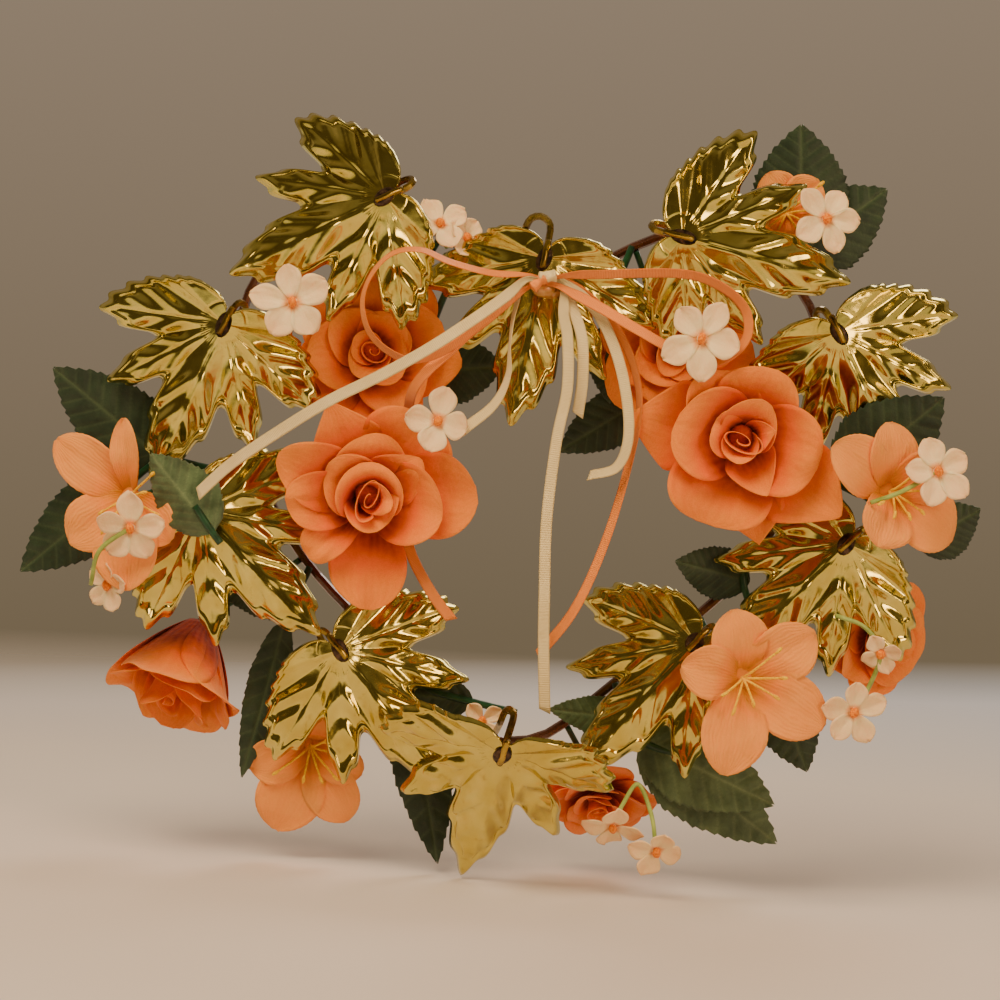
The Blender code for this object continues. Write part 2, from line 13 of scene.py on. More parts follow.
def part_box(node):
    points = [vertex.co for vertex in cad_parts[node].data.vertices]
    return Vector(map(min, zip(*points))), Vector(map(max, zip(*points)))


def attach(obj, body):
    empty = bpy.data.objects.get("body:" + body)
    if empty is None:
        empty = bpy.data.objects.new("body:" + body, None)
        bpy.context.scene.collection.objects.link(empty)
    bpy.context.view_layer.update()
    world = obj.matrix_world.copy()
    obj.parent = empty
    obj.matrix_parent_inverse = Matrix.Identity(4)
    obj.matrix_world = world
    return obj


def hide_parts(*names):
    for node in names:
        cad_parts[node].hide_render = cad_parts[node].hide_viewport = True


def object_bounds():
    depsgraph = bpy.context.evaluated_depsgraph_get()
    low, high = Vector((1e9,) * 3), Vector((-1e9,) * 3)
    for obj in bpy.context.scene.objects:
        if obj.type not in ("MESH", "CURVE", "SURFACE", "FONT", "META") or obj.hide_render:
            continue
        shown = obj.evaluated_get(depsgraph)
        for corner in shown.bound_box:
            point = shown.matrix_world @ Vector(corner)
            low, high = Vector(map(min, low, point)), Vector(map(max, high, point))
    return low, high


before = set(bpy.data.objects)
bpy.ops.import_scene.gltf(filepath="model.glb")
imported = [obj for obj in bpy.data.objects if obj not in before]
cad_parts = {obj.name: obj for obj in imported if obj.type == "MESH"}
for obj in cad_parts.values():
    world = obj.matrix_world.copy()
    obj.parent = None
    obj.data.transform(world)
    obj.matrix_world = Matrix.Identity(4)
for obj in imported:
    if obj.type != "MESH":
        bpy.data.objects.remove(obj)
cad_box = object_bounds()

MM = 0.001
FRAME_TOP = 117.0
WIRE_RADIUS = 2.0
low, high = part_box("heart_frame")
HEART = np.array([(low.x + high.x) / 2, (low.y + high.y) / 2, high.z - (FRAME_TOP + WIRE_RADIUS) * MM])

RIBBON_WIDTH = 4.6
RIBBON_SHEET = 0.3
GOLD_LENGTH = 70.0
GOLD_SHEET = 0.5
GOLD_FOLD = 16.0             # degrees that each half is turned back from the midrib
GOLD_BASE_FOLD = 4.0         # the same for the two lobes beside the hub
GOLD_DROOP = 0.0008
SILK_SHEET = 0.35
LEAF_SHEET = 0.5
BLOSSOM_SHEET = 0.5
STEM_RADIUS = 1.3
TWIG_RADIUS = 0.7
LEAF_TUCK = 3.0

# ---- places: hub (x, y, z), aim in the front view, tip and left side turned forward in degrees ----
GOLD_LEAVES = {
    "top_left": ((-63, -33, 120), -150, 3, 4),
    "upper_left": ((-126, -27, 65), -113, -6, -6),
    "left": ((-131, -28.5, -12), -42, 3, -6),
    "lower_left": ((-71, -26, -65), -47, 2, -6),
    "bottom": ((-2, -56, -100), -104, -36, -4),
    "lower_right": ((74, -27, -53), -130, 3, 14),
    "right": ((133, -29, -9), -132, -3, 8),
    "upper_right": ((125, -24, 77), -60, -8, 2),
    "top_right": ((58, -34, 111), -12, 2, 6),
    "centre": ((3, -24, 100), -98, 4, 6),
}
ROSES = {                    # centre, radius, depth, turned down, turned right
    "left": ((-62, -36, -2), 31, 26, 4, 4),
    "upper_left": ((-66, -2, 59), 29, 13, 0, 0),
    "right": ((86, -40, 30), 29, 27, 6, -6),
    "upper_right": ((60, -5, 66), 27, 13, 0, 0),
    "lower_left": ((-140, 4, -82), 24, 44, 64, -16),
    "bottom": ((40, 5, -128), 21, 22, 50, 0),
    "lower_right": ((155, -1, -48), 22, 18, 10, 30),
}
LILIES = {                   # throat, petals (direction, length, width), turned down, turned right
    "left": ((-160, -31, -8), [(145, 38, 20), (95, 32, 11), (-138, 30, 22), (-85, 38, 25), (-40, 26, 20)],
        0, -10),
    "lower_left": ((-82, -5, -108),
        [(100, 18, 20), (-20, 24, 18), (-62, 36, 22), (-110, 40, 26), (-160, 27, 20)], 20, 0),
    "lower_right": ((92, -50, -65),
        [(103, 28, 22), (36, 34, 22), (-28, 38, 24), (-100, 39, 25), (172, 27, 20)], 0, 10),
    "right": ((148, -42, 13), [(150, 34, 22), (100, 28, 20), (30, 22, 20), (-35, 33, 24), (-110, 24, 22)],
        0, 20),
    "top_right": ((102, -14, 126),
        [(120, 18, 16), (48, 18, 16), (-24, 16, 14), (-96, 16, 14), (-168, 18, 16)], 0, 0),
}
BLOSSOMS = {                 # heads: centre, radius, petals, aim, turned down, turned right; then the twig
    "upper_left": ([((-97, -44, 74), 16, 5, 100)], [(-97, -44, 74), (-98, -36, 72), (-100, -30, 66)]),
    "centre_left": ([((-36, -46, 30), 13, 4, 80, 0, 10)], [(-36, -46, 30), (-38, -38, 28), (-42, -26, 28)]),
    "left": ([((-156, -46, -20), 15, 5, 90, 20, 0)],
        [(-156, -46, -20), (-168, -45, -30), (-172, -37, -44)]),
    "top_right": ([((115, -40, 121), 14, 5, 70, 0, 10)],
        [(115, -40, 121), (112, -30, 118), (106, -24, 112)]),
    "upper_right": ([((67, -50, 69), 16, 5, 60)], [(67, -50, 69), (66, -42, 74), (62, -38, 82)]),
    "right": ([((164, -50, 22), 14, 5, 110, 0, 10)], [(164, -50, 22), (150, -50, 13), (138, -52, 8)]),
    "lower_right": ([((137, -46, -76), 13, 5, 90, 10, 10), ((147, -42, -52), 9, 4, -60, 30, 0)],
        [(137, -46, -76), (144, -38, -66), (147, -42, -52), (140, -42, -42), (128, -44, -38)]),
    "bottom": ([((44, -42, -128), 12, 4, 90, 50, 0), ((62, -41, -137), 11, 4, 70, 30, 10)],
        [(62, -41, -137), (60, -32, -124), (54, -30, -112), (48, -34, -120), (44, -42, -128)]),
}
SPRAYS = {                   # stem; leaves: stem point it grows on, aim, length, width, tip and side forward
    "left": ([(-110, -3.7, 3), (-132, -8, 6), (-150, -10, 8), (-163, -11, -2)],
        [(2, 143, 61, 33, 4, 0), (3, -137, 60, 31, 4, 0)]),
    "front_left": ([(-120, -44, -24), (-125, -44, -18), (-131, -44, -10)], [(1, 132, 40, 34)]),
    "inner_left": ([(-87, -3.7, -33), (-92, -6, -46), (-96, -8, -58)],
        [(2, -102, 67, 17), (1, 178, 34, 20)]),
    "upper_inner_left": ([(-30, -3.7, 103), (-38, 2, 84), (-45, 7, 62), (-46, 8, 52)], [(3, 8, 38, 30)]),
    "lower_left": ([(-55.6, -3.7, -62.6), (-42, -7, -78), (-18, -9, -84), (3, -8, -88)],
        [(1, -78, 78, 26), (2, 178, 36, 18)]),
    "lower_right": ([(43.6, -3.7, -73.6), (49, -7, -88), (57, -9, -97), (70, -9, -101)],
        [(2, -22, 61, 34, 6, 0), (2, -34, 72, 34, -5, 0), (1, 176, 35, 16)]),
    "upper_inner_right": ([(39.4, -3.7, 109), (34, -6, 92), (32, 3, 74), (50, 5, 47)],
        [(2, -85, 33, 19), (3, -145, 46, 24)]),
    "right": (
        [(107, -9, -64), (103, -8, -50), (94, -7, -27), (98.6, -3.7, -11), (113.6, -3.7, 11.3),
         (121, -12, 16), (131, -17, 16), (150, -16, 5), (166, -17, -7)],
        [(0, -66, 47, 30), (2, 168, 32, 22, 3, 0), (6, 44, 56, 38, 12, 0), (8, 34, 30, 24)]),
    "top_right": ([(106.7, -3.7, 100.7), (109, -6, 110), (109, -8, 118)],
        [(2, 93, 48, 40), (1, 40, 50, 34, -8, 0)]),
}
RIBBONS = {                  # what its far end is at, and its route; the name starts with its colour
    "cream_tail_left": ("bare",
        [(-4.5, -38.5, 89), (-14, -41, 80), (-37, -54, 61), (-58, -57, 47), (-79, -57, 35), (-98, -54, 22),
         (-117, -48, 8), (-130, -46, -5)]),
    "peach_tail_left": ("bare",
        [(-4.5, -34, 90), (-14, -35.5, 79), (-31, -40, 61), (-46, -38, 44), (-49, -20, 28), (-49, -16, 5),
         (-46, -17, -20), (-36, -24, -38), (-26, -28, -50)]),
    "cream_loop_left": ("bare",
        [(-4.5, -32.4, 88), (-8, -33.5, 76), (-9, -37, 62), (-9, -40, 50), (-14, -41, 38), (-26, -41, 27)]),
    "peach_loop_left": ("object",
        [(-4.5, -37, 91), (-19, -40, 91), (-35, -43, 94), (-47, -44, 98), (-58, -44, 96), (-66, -44, 87),
         (-69, -43, 75), (-64, -43, 62), (-50, -43, 54), (-36, -43, 58), (-20, -39, 71),
         (-4.5, -35.5, 86)]),
    "peach_loop_right": ("object",
        [(10.5, -38.5, 92), (25, -41, 93), (57, -44, 95), (73, -46, 91), (84, -46, 82), (85, -46, 70),
         (75, -46, 61), (60, -44, 63), (43, -42, 71), (26, -39, 80), (10.5, -36.6, 87)]),
    "cream_tail_centre": ("bare",
        [(11, -35.2, 87.5), (12, -36.2, 76), (14, -42, 66), (15, -44, 46), (12, -44, 25), (10, -42, -7),
         (11, -41, -39), (12, -40, -59), (14, -38, -84)]),
    "cream_tail_short": ("bare",
        [(10.5, -33.8, 89), (16, -35, 78), (20, -38, 66), (21, -39, 50), (20, -38, 36)]),
    "cream_loop_right": ("bare",
        [(10.5, -32.6, 90), (24, -34, 80), (33, -35, 65), (39, -37, 46), (41, -37, 28), (37, -36, 16),
         (26, -35, 12)]),
    "peach_tail_right": ("bare",
        [(10.5, -31.4, 91), (26, -32, 81), (39, -32, 64), (45, -31, 44), (43, -31, 22), (35, -31, -13),
         (24, -32, -42), (10, -34, -62)]),
}


# ---- numbers and directions ----
ORIGIN = (0.0, 0.0, 0.0)
FRONT = np.array([0.0, -1.0, 0.0])


def smooth(start, end, x):
    """0 before start and 1 after end, with an even S between: 3t^2 - 2t^3."""
    t = np.clip((x - start) / (end - start), 0, 1)
    return t * t * (3 - 2 * t)


def bell(x, width):
    """1 at x = 0, falling away on both sides: e to the minus (x / width) squared."""
    return np.exp(-(x / width) ** 2)


def facing(aim, forward, side):
    """Turn for a piece whose X runs along it and whose Z faces out: aimed in the front view, then its tip
    and its left side are turned forward, by degrees."""
    a, f, s = np.radians((aim, forward, side))
    along, out = np.array([np.cos(a), 0, np.sin(a)]), FRONT
    across = np.cross(out, along)
    tipped = along * np.cos(f) + out * np.sin(f)
    out = out * np.cos(f) - along * np.sin(f)
    rolled = across * np.cos(s) + out * np.sin(s)
    return np.stack([tipped, rolled, np.cross(tipped, rolled)], axis=1)


def placed(points, at, turn):
    """Points of a piece in its own axes, turned and moved to their place in the heart's frame."""
    return points @ turn.T + np.array(at, float)


def lattice(rows, cols):
    """Column of rows from 0 to 1 along a surface and row of columns from -1 to 1 across it."""
    return np.linspace(0, 1, rows)[:, None], np.linspace(-1, 1, cols)[None]


def chances(seed, count):
    """Draws between -1 and 1 that belong to a seed."""
    return np.random.default_rng(seed).uniform(-1, 1, count)


def spun(x, y, degrees):
    """Two coordinates after a turn about their origin."""
    a = math.radians(degrees)
    return x * math.cos(a) - y * math.sin(a), x * math.sin(a) + y * math.cos(a)


def smooth_route(points, steps):
    """Catmull-Rom curve through the points, with the given number of steps between two of them."""
    p = np.array(points, float)
    p = np.vstack([2 * p[0] - p[1], p, 2 * p[-1] - p[-2]])
    a, b, c, d = (p[k:len(p) - 3 + k, None] for k in range(4))
    t = (np.arange(steps) / steps)[None, :, None]
    curve = 0.5 * (2 * b + (c - a) * t + (2 * a - 5 * b + 4 * c - d) * t ** 2
                   + (3 * b - a - 3 * c + d) * t ** 3)
    return np.vstack([curve.reshape(-1, 3), p[-2]])


def unit(vectors):
    return vectors / np.linalg.norm(vectors, axis=-1, keepdims=True)


# ---- surfaces and pieces ----
def patch(points, shade=0.0, wrap=False, skin=0):
    """One surface of a piece: a grid of points, a shade for each, whether its columns close into a ring,
    and which of the piece's materials it has."""
    return points, np.broadcast_to(np.asarray(shade, float), points.shape[:2]), wrap, skin


def make(name, patches, skins, nodes=(), sheet=0.0, rounding=0):
    """Piece from its surfaces. A sheet thickness closes open ones into thin shells, and the two end rings
    of a wrapped one are closed. The UV map runs 0 to 1 across the columns and along the rows."""
    corners, faces, uv, shades, face_skins, base = [], [], [], [], [], 0
    for points, shade, wrap, skin in patches:
        rows, cols = points.shape[:2]
        spans = cols if wrap else cols - 1
        r, c = np.meshgrid(np.arange(rows - 1), np.arange(spans), indexing="ij")
        n = (c + 1) % cols
        quads = np.stack([r * cols + c, r * cols + n, (r + 1) * cols + n, (r + 1) * cols + c], -1)
        faces += (quads.reshape(-1, 4) + base).tolist()
        u, v = np.stack([c, c + 1, c + 1, c], -1) / spans, np.stack([r, r, r + 1, r + 1], -1) / (rows - 1)
        uv.append(np.stack([u, v], -1).reshape(-1, 2))
        if wrap:
            ring = base + np.arange(cols)
            faces += [ring[::-1].tolist(), (ring + (rows - 1) * cols).tolist()]
            uv += [np.tile((0.5, 0.0), (cols, 1)), np.tile((0.5, 1.0), (cols, 1))]
        face_skins += [skin] * (len(faces) - len(face_skins))
        corners.append(points.reshape(-1, 3))
        shades.append(shade.reshape(-1))
        base += rows * cols
    mesh = bpy.data.meshes.new(name)
    mesh.from_pydata((np.concatenate(corners) * MM + HEART).tolist(), [], faces)
    mesh.uv_layers.new(name="cloth").data.foreach_set("uv", np.concatenate(uv).ravel())
    mesh.attributes.new("shade", "FLOAT", "POINT").data.foreach_set("value", np.concatenate(shades))
    mesh.polygons.foreach_set("material_index", face_skins)
    mesh.shade_smooth()
    for skin in skins:
        mesh.materials.append(skin)
    piece = bpy.data.objects.new(name, mesh)
    bpy.context.scene.collection.objects.link(piece)
    if sheet:
        shell = piece.modifiers.new("shell", "SOLIDIFY")
        shell.thickness = sheet * MM
        shell.offset = 0
    if rounding:
        soft = piece.modifiers.new("soft", "SUBSURF")
        soft.levels = soft.render_levels = rounding
    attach(piece, "root")
    if nodes:
        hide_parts(*nodes)
    return piece


def own_tube(route, steps, at, turn, *looks, **more):
    """Rod along a route that is given in a piece's own axes."""
    return tube(placed(smooth_route(route, steps), at, turn), *looks, **more)


def carried(surface, at, turn):
    """A surface in its own axes, turned and moved to its place."""
    return (placed(surface[0], at, turn),) + surface[1:]


def tube(points, radius, sides=10, shade=0.0, skin=0):
    """Round rod: a ring about each station, square to the way the route runs, carried without twisting."""
    ways = unit(np.gradient(points, axis=0))
    across = [unit(np.cross(ways[0], (0.3, 0.9, 0.2)))]
    for way in ways[1:]:
        across.append(unit(across[-1] - way * (across[-1] @ way)))
    across = np.array(across)
    up = np.cross(ways, across)
    turn = 2 * math.pi * np.arange(sides) / sides
    reach = np.broadcast_to(radius, len(points))[:, None, None]
    ring = across[:, None] * np.cos(turn)[:, None] + up[:, None] * np.sin(turn)[:, None]
    return patch(points[:, None] + reach * ring, shade, wrap=True, skin=skin)


def blob(at, size, seed, lumps=0.12, skin=0, rows=12, sides=16):
    """Lumpy ball: a sphere stretched to size, its radius swelling and shrinking with a few slow waves."""
    rise = np.linspace(0.04, math.pi - 0.04, rows)[:, None]
    turn = (2 * math.pi * np.arange(sides) / sides)[None]
    wave = 1 + lumps * (np.sin(2 * turn + seed) * np.sin(rise)
                        + 0.6 * np.cos(3 * turn - seed) * np.sin(2 * rise))
    ball = np.stack([np.sin(rise) * np.cos(turn), np.sin(rise) * np.sin(turn), -np.cos(rise) + 0 * turn], -1)
    return patch(ball * wave[..., None] * np.array(size) + np.array(at, float), wrap=True, skin=skin)


# ---- materials ----
def linear(code):
    """Linear colour of an sRGB hex code."""
    values = [int(code[k:k + 2], 16) / 255 for k in (1, 3, 5)]
    return [v / 12.92 if v <= 0.04045 else ((v + 0.055) / 1.055) ** 2.4 for v in values] + [1.0]


def add_node(tree, kind, inputs=(), **settings):
    """Node of one kind with its settings. An input is a number or colour, or another node's output."""
    made = tree.nodes.new("ShaderNode" + kind)
    for key, value in settings.items():
        setattr(made, key, value)
    for key, value in dict(inputs).items():
        if isinstance(value, bpy.types.NodeSocket):
            tree.links.new(value, made.inputs[key])
        else:
            made.inputs[key].default_value = value
    return made


def finish(name, **sockets):
    """New Principled material with the given socket values; underscores stand for spaces."""
    material = bpy.data.materials.new(name)
    material.use_nodes = True
    shader = material.node_tree.nodes["Principled BSDF"]
    for key, value in sockets.items():
        shader.inputs[key.replace("_", " ")].default_value = value
    return material, material.node_tree, shader


MIX_FACTOR, MIX_A, MIX_B, MIX_COLOUR = 0, 6, 7, 2       # sockets of a Mix node that mixes colours


def blended(tree, factor, a, b, mode="MIX"):
    """Output of a colour mix of a and b, sockets or hex codes."""
    a, b = (linear(x) if isinstance(x, str) else x for x in (a, b))
    mixed = add_node(tree, "Mix", {MIX_FACTOR: factor, MIX_A: a, MIX_B: b}, data_type="RGBA", blend_type=mode)
    return mixed.outputs[MIX_COLOUR]


def spread(tree, value, low_in, high_in, low_out=0.0, high_out=1.0):
    """Output of a value carried from one range to another."""
    return add_node(tree, "MapRange", {"Value": value, "From Min": low_in, "From Max": high_in,
                                       "To Min": low_out, "To Max": high_out}).outputs["Result"]


def grain(tree, spacing, detail=2.0, rough=0.5, distortion=0.0, stretch=(1, 1, 1)):
    """Output of noise on object coordinates whose blotches are about spacing millimetres apart."""
    place = add_node(tree, "TexCoord").outputs["Object"]
    mapped = add_node(tree, "Mapping", {"Vector": place, "Scale": stretch}).outputs["Vector"]
    return add_node(tree, "TexNoise", {"Vector": mapped, "Scale": 1 / (spacing * MM), "Detail": detail,
                                       "Roughness": rough, "Distortion": distortion}).outputs["Fac"]


def waves(tree, axis, count, distortion=0.0):
    """Output of even ribs along one direction of the UV map, count of them over the surface."""
    uv = add_node(tree, "TexCoord").outputs["UV"]
    scaled = add_node(tree, "Mapping", {"Vector": uv, "Scale": (count, count, 1)}).outputs["Vector"]
    inputs = {"Vector": scaled, "Scale": 0.5, "Distortion": distortion, "Detail": 1.0}
    return add_node(tree, "TexWave", inputs, bands_direction=axis).outputs["Fac"]


def bumped(tree, shader, height, depth, under=None):
    """Bump of a height from 0 to 1 over depth millimetres, on the shader's normal."""
    inputs = {"Height": height, "Distance": depth * MM, "Strength": 1.0}
    if under is not None:
        inputs["Normal"] = under
    normal = add_node(tree, "Bump", inputs).outputs["Normal"]
    tree.links.new(normal, shader.inputs["Normal"])
    return normal


def uv_part(tree, axis):
    """Output of the UV map's coordinate, 0 across or 1 along."""
    uv = add_node(tree, "TexCoord").outputs["UV"]
    return add_node(tree, "SeparateXYZ", {"Vector": uv}).outputs[axis]


def polished_brass():
    """Lacquered sheet brass, stamped and polished: a clear mirror with slow ripples from the press, a warmer
    tint where the lacquer lies thick and faint cloudy wear."""
    material, tree, shader = finish("polished_brass", Metallic=1.0, Coat_Weight=0.3, Coat_Roughness=0.05)
    cloud = spread(tree, grain(tree, 14, 3), 0.35, 0.7)
    colour = blended(tree, cloud, "#dfd06e", "#cdb84e")
    spots = spread(tree, grain(tree, 3.5, 4), 0.62, 0.78)
    colour = blended(tree, spread(tree, spots, 0, 1, 0, 0.45), colour, "#a88a3a")
    tree.links.new(colour, shader.inputs["Base Color"])
    tree.links.new(spread(tree, grain(tree, 5, 3), 0.3, 0.8, 0.13, 0.25), shader.inputs["Roughness"])
    ripples = bumped(tree, shader, grain(tree, 9, 2), 0.4)
    bumped(tree, shader, grain(tree, 1.2, 2), 0.02, ripples)
    return material


def coated(name, a, b, blotch, rough, bump, shape=(1, 1, 1), **sockets):
    """Finish that drifts from colour a to b over blotches (spacing, detail, from, to), with a roughness that
    follows the blotches or a grain of its own and a bump (spacing, detail, depth)."""
    material, tree, shader = finish(name, **sockets)
    drift = spread(tree, grain(tree, *blotch[:2]), *blotch[2:])
    tree.links.new(blended(tree, drift, a, b), shader.inputs["Base Color"])
    if rough:
        *own, finest, roughest = rough
        wear = (grain(tree, *own[:2]), *own[2:]) if own else (drift, 0, 1)
        tree.links.new(spread(tree, *wear, finest, roughest), shader.inputs["Roughness"])
    bumped(tree, shader, grain(tree, *bump[:2], stretch=shape) if len(bump) > 1 else drift, bump[-1])
    return material


def silk(name, rim, middle, depth, weave=0.45, veins=6, pressed_in=0.05):
    """Dyed polyester silk, starched and hot-pressed into a petal: a soft matt cloth with a sheen at grazing
    light, a colour that deepens towards the foot as the shade attribute rises (on the lilies and blossoms
    their dyed throat, on the roses the silk's deeper foot with painted shade laid over it deep among the
    petals), pressed veins along the petal, and a fine plain weave, drawn a little coarser than real so that
    it shows."""
    material, tree, shader = finish(name, Roughness=0.78, IOR=1.45, Sheen_Weight=0.12, Sheen_Roughness=0.4,
                                    Subsurface_Weight=0.2, Subsurface_Scale=0.002)
    shade = add_node(tree, "Attribute", attribute_name="shade").outputs["Fac"]
    blotch = spread(tree, grain(tree, 9, 4, 0.6), 0.25, 0.75, -0.12, 0.12)
    tone = add_node(tree, "Math", {0: shade, 1: blotch}, operation="ADD").outputs[0]
    # Rim, middle and depth colours follow the shade attribute; on the roses the dark depth colour is painted
    # shade.
    colour = blended(tree, spread(tree, tone, 0.0, 0.5), rim, middle)
    colour = blended(tree, spread(tree, tone, 0.5, 1.0), colour, depth)
    streak = waves(tree, "X", veins, 6.0)
    colour = blended(tree, spread(tree, streak, 0, 1, 0, 0.16), colour, middle)
    thread = grain(tree, weave, 1, 0.4)
    colour = blended(tree, spread(tree, thread, 0.3, 0.7, 0, 0.13), colour, depth)
    tree.links.new(colour, shader.inputs["Base Color"])
    pressed = bumped(tree, shader, streak, pressed_in)
    creased = bumped(tree, shader, grain(tree, 7, 3), 0.9, pressed)
    bumped(tree, shader, thread, 0.09, creased)
    return material


def leaf_cloth(name, dark, light, vein):
    """Green polyester satin, printed and hot-pressed: dark and matt with a dull gloss, lighter along the
    pressed veins, mottled by the print."""
    material, tree, shader = finish(name, Roughness=0.62, IOR=1.45, Sheen_Weight=0.15, Sheen_Roughness=0.5)
    shade = add_node(tree, "Attribute", attribute_name="shade").outputs["Fac"]
    mottle = spread(tree, grain(tree, 11, 4, 0.65), 0.3, 0.72)
    colour = blended(tree, mottle, dark, light)
    colour = blended(tree, spread(tree, shade, 0, 1, 0, 0.45), colour, vein)
    thread = grain(tree, 0.5, 1, 0.4)
    colour = blended(tree, spread(tree, thread, 0.3, 0.7, 0, 0.3), colour, dark)
    tree.links.new(colour, shader.inputs["Base Color"])
    cloth = bumped(tree, shader, thread, 0.1)
    bumped(tree, shader, grain(tree, 5, 3), 0.5, cloth)
    return material


def satin(name, light, dark, ribs):
    """Narrow polyester satin ribbon: woven edges and fine ribs across it, a low lustre along the threads.
    The ribs are drawn 0.9 mm apart, coarser than real, so that they show."""
    material, tree, shader = finish(name, Roughness=0.42, IOR=1.48, Sheen_Weight=0.05, Anisotropic=0.4)
    rib = waves(tree, "Y", ribs)
    warp = waves(tree, "X", 9, 0.4)
    edge = add_node(tree, "Math", {0: uv_part(tree, 0), 1: 0.5}, operation="SUBTRACT").outputs[0]
    edge = add_node(tree, "Math", {0: edge}, operation="ABSOLUTE").outputs[0]
    colour = blended(tree, spread(tree, rib, 0, 1, 0, 0.35), light, dark)
    colour = blended(tree, spread(tree, edge, 0.38, 0.46, 0, 0.5), colour, dark)
    colour = blended(tree, spread(tree, grain(tree, 12, 2), 0.35, 0.7, 0, 0.3), colour, dark)
    tree.links.new(colour, shader.inputs["Base Color"])
    ribbed = bumped(tree, shader, rib, 0.12)
    bumped(tree, shader, warp, 0.05, ribbed)
    return material


BRASS = polished_brass()
# Drawn brass rod under lacquer, dulled and browned by soldering heat: fine lines along it.
ROD = coated("brass_rod", "#c2a442", "#6a5028", (10, 3, 0.35, 0.68), (2, 3, 0.3, 0.7, 0.22, 0.4),
             (0.7, 2, 0.03), (1, 1, 0.2), Metallic=1.0, Coat_Weight=0.2, Coat_Roughness=0.1)
# Steel rod in glossy copper-brown lacquer: a dark coat with a clear gloss, redder here and there, with fine
# orange peel.
LACQUER = coated("bronze_lacquer", "#4b2a1c", "#6e4028", (16, 3, 0.35, 0.7), (3, 3, 0.3, 0.7, 0.22, 0.38),
                 (1.5, 2, 0.03), Metallic=0.55, Coat_Weight=0.7, Coat_Roughness=0.08)
# Tin solder browned by flux: a lumpy dull metal with tarry brown patches.
SOLDER = coated("dark_solder", "#1c1410", "#5a4434", (2.5, 4, 0.35, 0.65), (0.55, 0.25), (1.2, 3, 0.3),
                Metallic=0.7)
# Hot-melt glue, amber and cloudy: a soft gloss over light that goes a little way in.
GLUE = coated("hot_glue", "#b8702c", "#e0a860", (3, 3, 0.3, 0.7), (), (4, 2, 0.3), Roughness=0.22, IOR=1.48,
              Transmission_Weight=0.25, Subsurface_Weight=0.3, Subsurface_Scale=0.003)
# The roses' near brown-red depth colours are painted shade among the petals, laid over the silk's deeper tone
# at the foot.
ROSE_SILK = silk("rose_silk", "#ff9434", "#f06812", "#8e2200")
RED_ROSE_SILK = silk("red_rose_silk", "#ff9044", "#f26a22", "#9a2800")
LILY_SILK = silk("lily_silk", "#ffa452", "#f8903a", "#cc7e08", veins=9, pressed_in=0.1)
BLOSSOM_SILK = silk("blossom_silk", "#fbcf9c", "#ffe6b4", "#f09230", veins=3, pressed_in=0.03)
LEAF_CLOTH = leaf_cloth("leaf_cloth", "#1a281c", "#34452e", "#586a46")
# The same cloth painted lighter for the sprays whose leaves lie in the light: painted light.
PAINTED_LIT_LEAF_CLOTH = leaf_cloth("painted_lit_leaf_cloth", "#34462c", "#627650", "#84946a")
# Soft polyethylene, moulded over wire: a waxy plastic with a dull gloss and faint flow marks.
GREEN_STEM, PALE_STEM = (
    coated(name, dark, light, (5, 3, 0.3, 0.7), (0.3, 0.45), (1.5, 2, 0.08), IOR=1.5, Subsurface_Weight=0.1,
           Subsurface_Scale=0.001)
    for name, dark, light in (("green_stem", "#0f2c18", "#1d4c2c"), ("pale_stem", "#7f9440", "#a9bc62")))
# Dyed flock or fine pollen paste on a plastic thread: bright, quite matt and grainy.
YELLOW_FLOCK, ORANGE_FLOCK = (
    coated(name, dark, light, (0.8, 3, 0.35, 0.65), (), (0.15,), Roughness=0.75, IOR=1.45, Sheen_Weight=0.05)
    for name, dark, light in (("yellow_flock", "#e8a400", "#ffd60c"), ("orange_flock", "#d86200", "#ff9a1c")))
BLOSSOM_SKINS = [BLOSSOM_SILK, ORANGE_FLOCK, PALE_STEM]


# ---- camera ----
CAMERA = np.array([-9.2, -950.0, 0.0])
LENS = 81.4                  # millimetres, on a 36 mm sensor
ROLL = 3.5                   # degrees that the wreath hangs out of true, clockwise


def camera():
    data = bpy.data.cameras.new("camera")
    data.lens = LENS
    seen = bpy.data.objects.new("camera", data)
    bpy.context.scene.collection.objects.link(seen)
    level = Matrix.Rotation(math.radians(90), 4, "X")
    seen.matrix_world = (Matrix.Translation((CAMERA * MM + HEART).tolist()) @ level
                         @ Matrix.Rotation(math.radians(ROLL), 4, "Z"))
    bpy.context.scene.camera = seen


# ---- bow ----
SATIN = {"cream": ("#f4e0a6", "#cdb070"), "peach": ("#ff9c4a", "#e0701c")}
RIB_SPACING = 0.9
SLANT = 1.2                  # how far each side of a cut end is ahead of or behind its middle
KNOT_AT = (3.0, -35.0, 89.5)
TWISTS = {                   # degrees that a ribbon is turned on edge at its start, middle and end
    "cream_loop_left": (50, 80, 15), "peach_tail_right": (20, 62, 30), "peach_loop_left": (45, 66, 40),
    "peach_loop_right": (50, 40, 5), "cream_tail_centre": (0, 20, 0), "cream_loop_right": (0, 15, 40),
    "peach_tail_left": (0, 25, 10),
}


def into_knot(point):
    """Place inside the knot that a ribbon's end by it is gathered to."""
    middle = np.array(KNOT_AT)
    return middle + (np.array(point) - middle) * (0.2, 0.6, 0.35)


